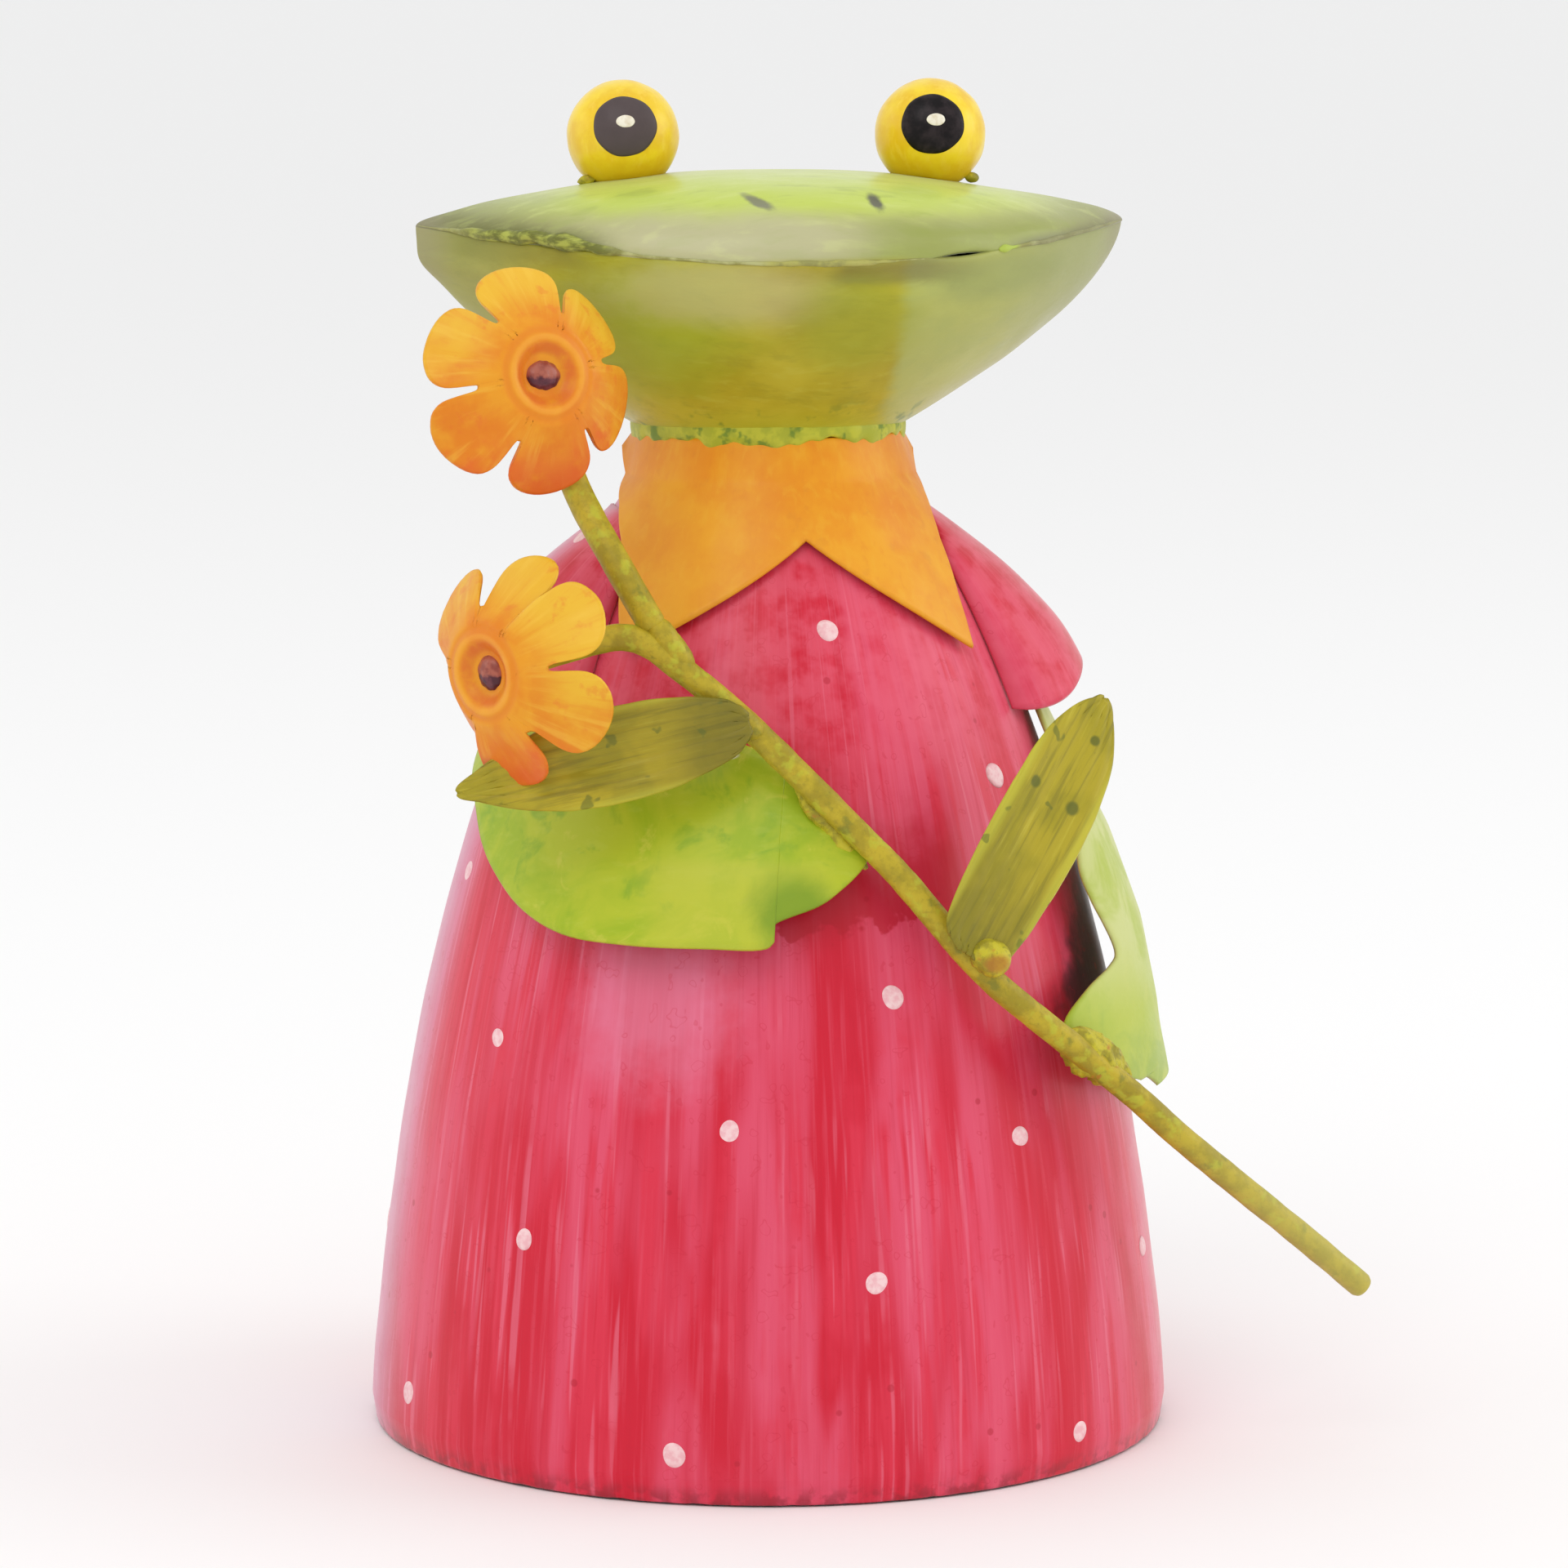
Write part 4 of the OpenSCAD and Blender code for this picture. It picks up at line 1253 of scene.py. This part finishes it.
def build_eyes():
    yolk, pupil = eye_paint(), pupil_paint()
    glint = plain_paint("glint_paint", 1.6, 0.7, (238, 232, 214), (220, 208, 182), (0.35, 0.5),
                        0.08)
    for node, squash, gaze, seed, spark in (("right_eye", 0.96, (13.2, -8.0), 1, (16.6, -7.8)),
                                            ("left_eye", 0.97, (13.8, -10.6), 2, (16.6, -7.4))):
        make(node + "_ball", *eye_mesh(node), "eye_paint", yolk, (node,))
        make(node + "_pupil", *eye_patch(node, *gaze, PUPIL, squash, 0.05, seed), "eye_paint",
             pupil)
        make(node + "_glint", *eye_patch(node, *spark, GLINT, 0.68, 0.07, seed + 3, 0.05),
             "eye_paint", glint)
        lo, hi = (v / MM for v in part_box(node + "_weld"))
        mid = (lo + hi) / 2 - Vector((0, 0, 0.25))
        out = 1 if mid.x > 0 else -1
        pts = (mid + Vector((-1.6 * out, -0.4, -0.2)), mid + Vector((-0.6 * out, 0, -0.3)),
               mid + Vector((0.2 * out, 0.5, -0.5)))
        make(node + "_tab", *bead_mesh(pts, 0.6, 5 + seed, 0.4, 16, 6), "head_paint", SOLDER,
             (node + "_weld",))


def build_arms():
    paint = arm_paint()
    for name, edges, flip in (("right_arm", RIGHT_ARM, True), ("left_arm", LEFT_ARM, False)):
        make(name + "_sheet", *arm_mesh(edges, flip), "arm_paint", paint, (name,))


def build_stem():
    wire = stem_paint()
    make("stem", *wire_mesh(STEM, WIRE_R), "stem_paint", wire, ("main_stem",))
    make("branch", *wire_mesh(BRANCH, BRANCH_R), "stem_paint", wire, ("branch_stem",))
    for name, flower, gold, ember, oval in (("upper", UPPER_FLOWER, 85, -86, (2.2, 1.7)),
                                            ("lower", LOWER_FLOWER, 52, -95, (1.9, 2.1))):
        at, turn, seed = flower["at"], flower["turn"], flower["seed"]
        paint = flower_paint(name + "_petal_paint", at, turn, gold, ember)
        make(name + "_petals", *flower_mesh(**flower), "flower_paint", paint, (name + "_flower",))
        make(name + "_stud", *rivet_mesh(at, turn, seed, *oval), "rivet_paint",
             rivet_paint(name + "_rivet_paint", at), (name + "_rivet",))
    for name, leaf, look in LEAVES:
        paint = leaf_paint(name + "_paint", leaf["base"], leaf["tip"], leaf["face"], *look)
        make(name + "_blade", *leaf_mesh(**leaf), "stem_paint", paint, (name,))
    for name, pts, r, rough, seed in BEADS:
        paint = wire if rough < 0.2 else SOLDER
        make(name + "_lump", *bead_mesh(pts, r, seed, rough), "stem_paint", paint, (name,))


# each leaf: its mesh, then its tint, how dark it is near the stalk, and its dark spots
LEAVES = (
    ("right_leaf",
     dict(base=(-10.6, -39, 87.4), tip=(-42.1, -34, 79.9), half=5.2, face=(-0.1, -1, 0.1),
          bow=0.6, curl=0.0, root=0.46, close=0.64, seed=3),
     ((178, 160, 36), 0.68, ())),
    ("left_leaf",
     dict(base=(13.1, -44.9, 61.6), tip=(31, -34, 88.2), half=5.7, face=(0.2, -1, 0),
          bow=1.0, curl=0.8, root=0.72, close=0.70, seed=6),
     ((172, 156, 38), 0.42, ((20.9, 3.1, 0.7), (20.8, -2.5, 0.8), (29.0, -1.1, 0.6)))))
# each lump of solder: its path, radius, roughness and seed; a smooth one is painted as the wire
BEADS = (
    ("branch_solder", ((-21.2, -34.3, 99.4), (-18.9, -35, 96), (-16.0, -35.5, 93.0)),
     1.72, 0.12, 2),
    ("right_hand_solder", ((-4.6, -36, 80), (-1, -37.2, 75.6), (3, -38.4, 70.6)), 1.3, 0.4, 4),
    ("left_hand_solder", ((25.4, -38.7, 51), (30.5, -36.6, 47.4), (34.6, -34.2, 43.8)),
     2.3, 0.4, 6),
    ("right_leaf_solder", ((-12.4, -37.0, 89.2), (-10.8, -37.4, 87.4), (-8.4, -37.2, 85.4)),
     1.5, 0.12, 8),
    ("left_leaf_solder", ((13.8, -44.2, 62.5), (16.0, -44.6, 60.9), (17.8, -44, 59.7)),
     1.9, 0.22, 10))

DRESS, SOLDER = dress_paint(), solder_paint()
build_dress()
build_head()
build_eyes()
build_arms()
build_stem()


# ---- studio
def floor():
    mesh = bpy.data.meshes.new("floor")
    size = 40.0
    mesh.from_pydata([(-size, -size, 0), (size, -size, 0), (size, size, 0), (-size, size, 0)], [],
                     [(0, 1, 2, 3)])
    obj = bpy.data.objects.new("floor", mesh)
    bpy.context.scene.collection.objects.link(obj)
    mat = bpy.data.materials.new("floor_paint")
    mat.use_nodes = True
    b = mat.node_tree.nodes["Principled BSDF"].inputs
    b["Base Color"].default_value = (0.93, 0.93, 0.93, 1)
    b["Roughness"].default_value = 0.8
    b["Specular IOR Level"].default_value = 0.1
    mesh.materials.append(mat)
    obj.location.z = -0.0002


def soft_light(name, place, aim, size, power):
    data = bpy.data.lights.new(name, "AREA")
    data.shape = "SQUARE"
    data.size = size
    data.energy = power
    obj = bpy.data.objects.new(name, data)
    obj.location = place
    obj.rotation_euler = (Vector(aim) - Vector(place)).to_track_quat("-Z", "Y").to_euler()
    bpy.context.scene.collection.objects.link(obj)


def studio():
    floor()
    world = bpy.data.worlds.new("studio")
    world.use_nodes = True
    back = world.node_tree.nodes["Background"]
    back.inputs["Color"].default_value = (1, 1, 1, 1)
    back.inputs["Strength"].default_value = 0.92
    bpy.context.scene.world = world
    bpy.context.scene.view_settings.view_transform = "Standard"
    mid = (0, 0, 0.08)
    soft_light("key", (-0.45, -0.75, 1.05), mid, 0.7, 2.8)
    soft_light("left", (-1.1, 0.3, 0.45), mid, 0.7, 0.9)
    soft_light("right", (1.1, -0.2, 0.5), mid, 0.7, 2.6)


def camera():
    """The photo's view: a long lens from a little above, to the frog's right."""
    data = bpy.data.cameras.new("camera")
    data.lens = 137.86
    data.sensor_width = 36.0
    data.clip_end = 100
    obj = bpy.data.objects.new("camera", data)
    obj.location = (-0.1455, -0.6847, 0.1714)
    obj.rotation_euler = (math.radians(90 - 7.84), 0, math.radians(-12.149))
    bpy.context.scene.collection.objects.link(obj)
    bpy.context.scene.camera = obj


studio()
camera()
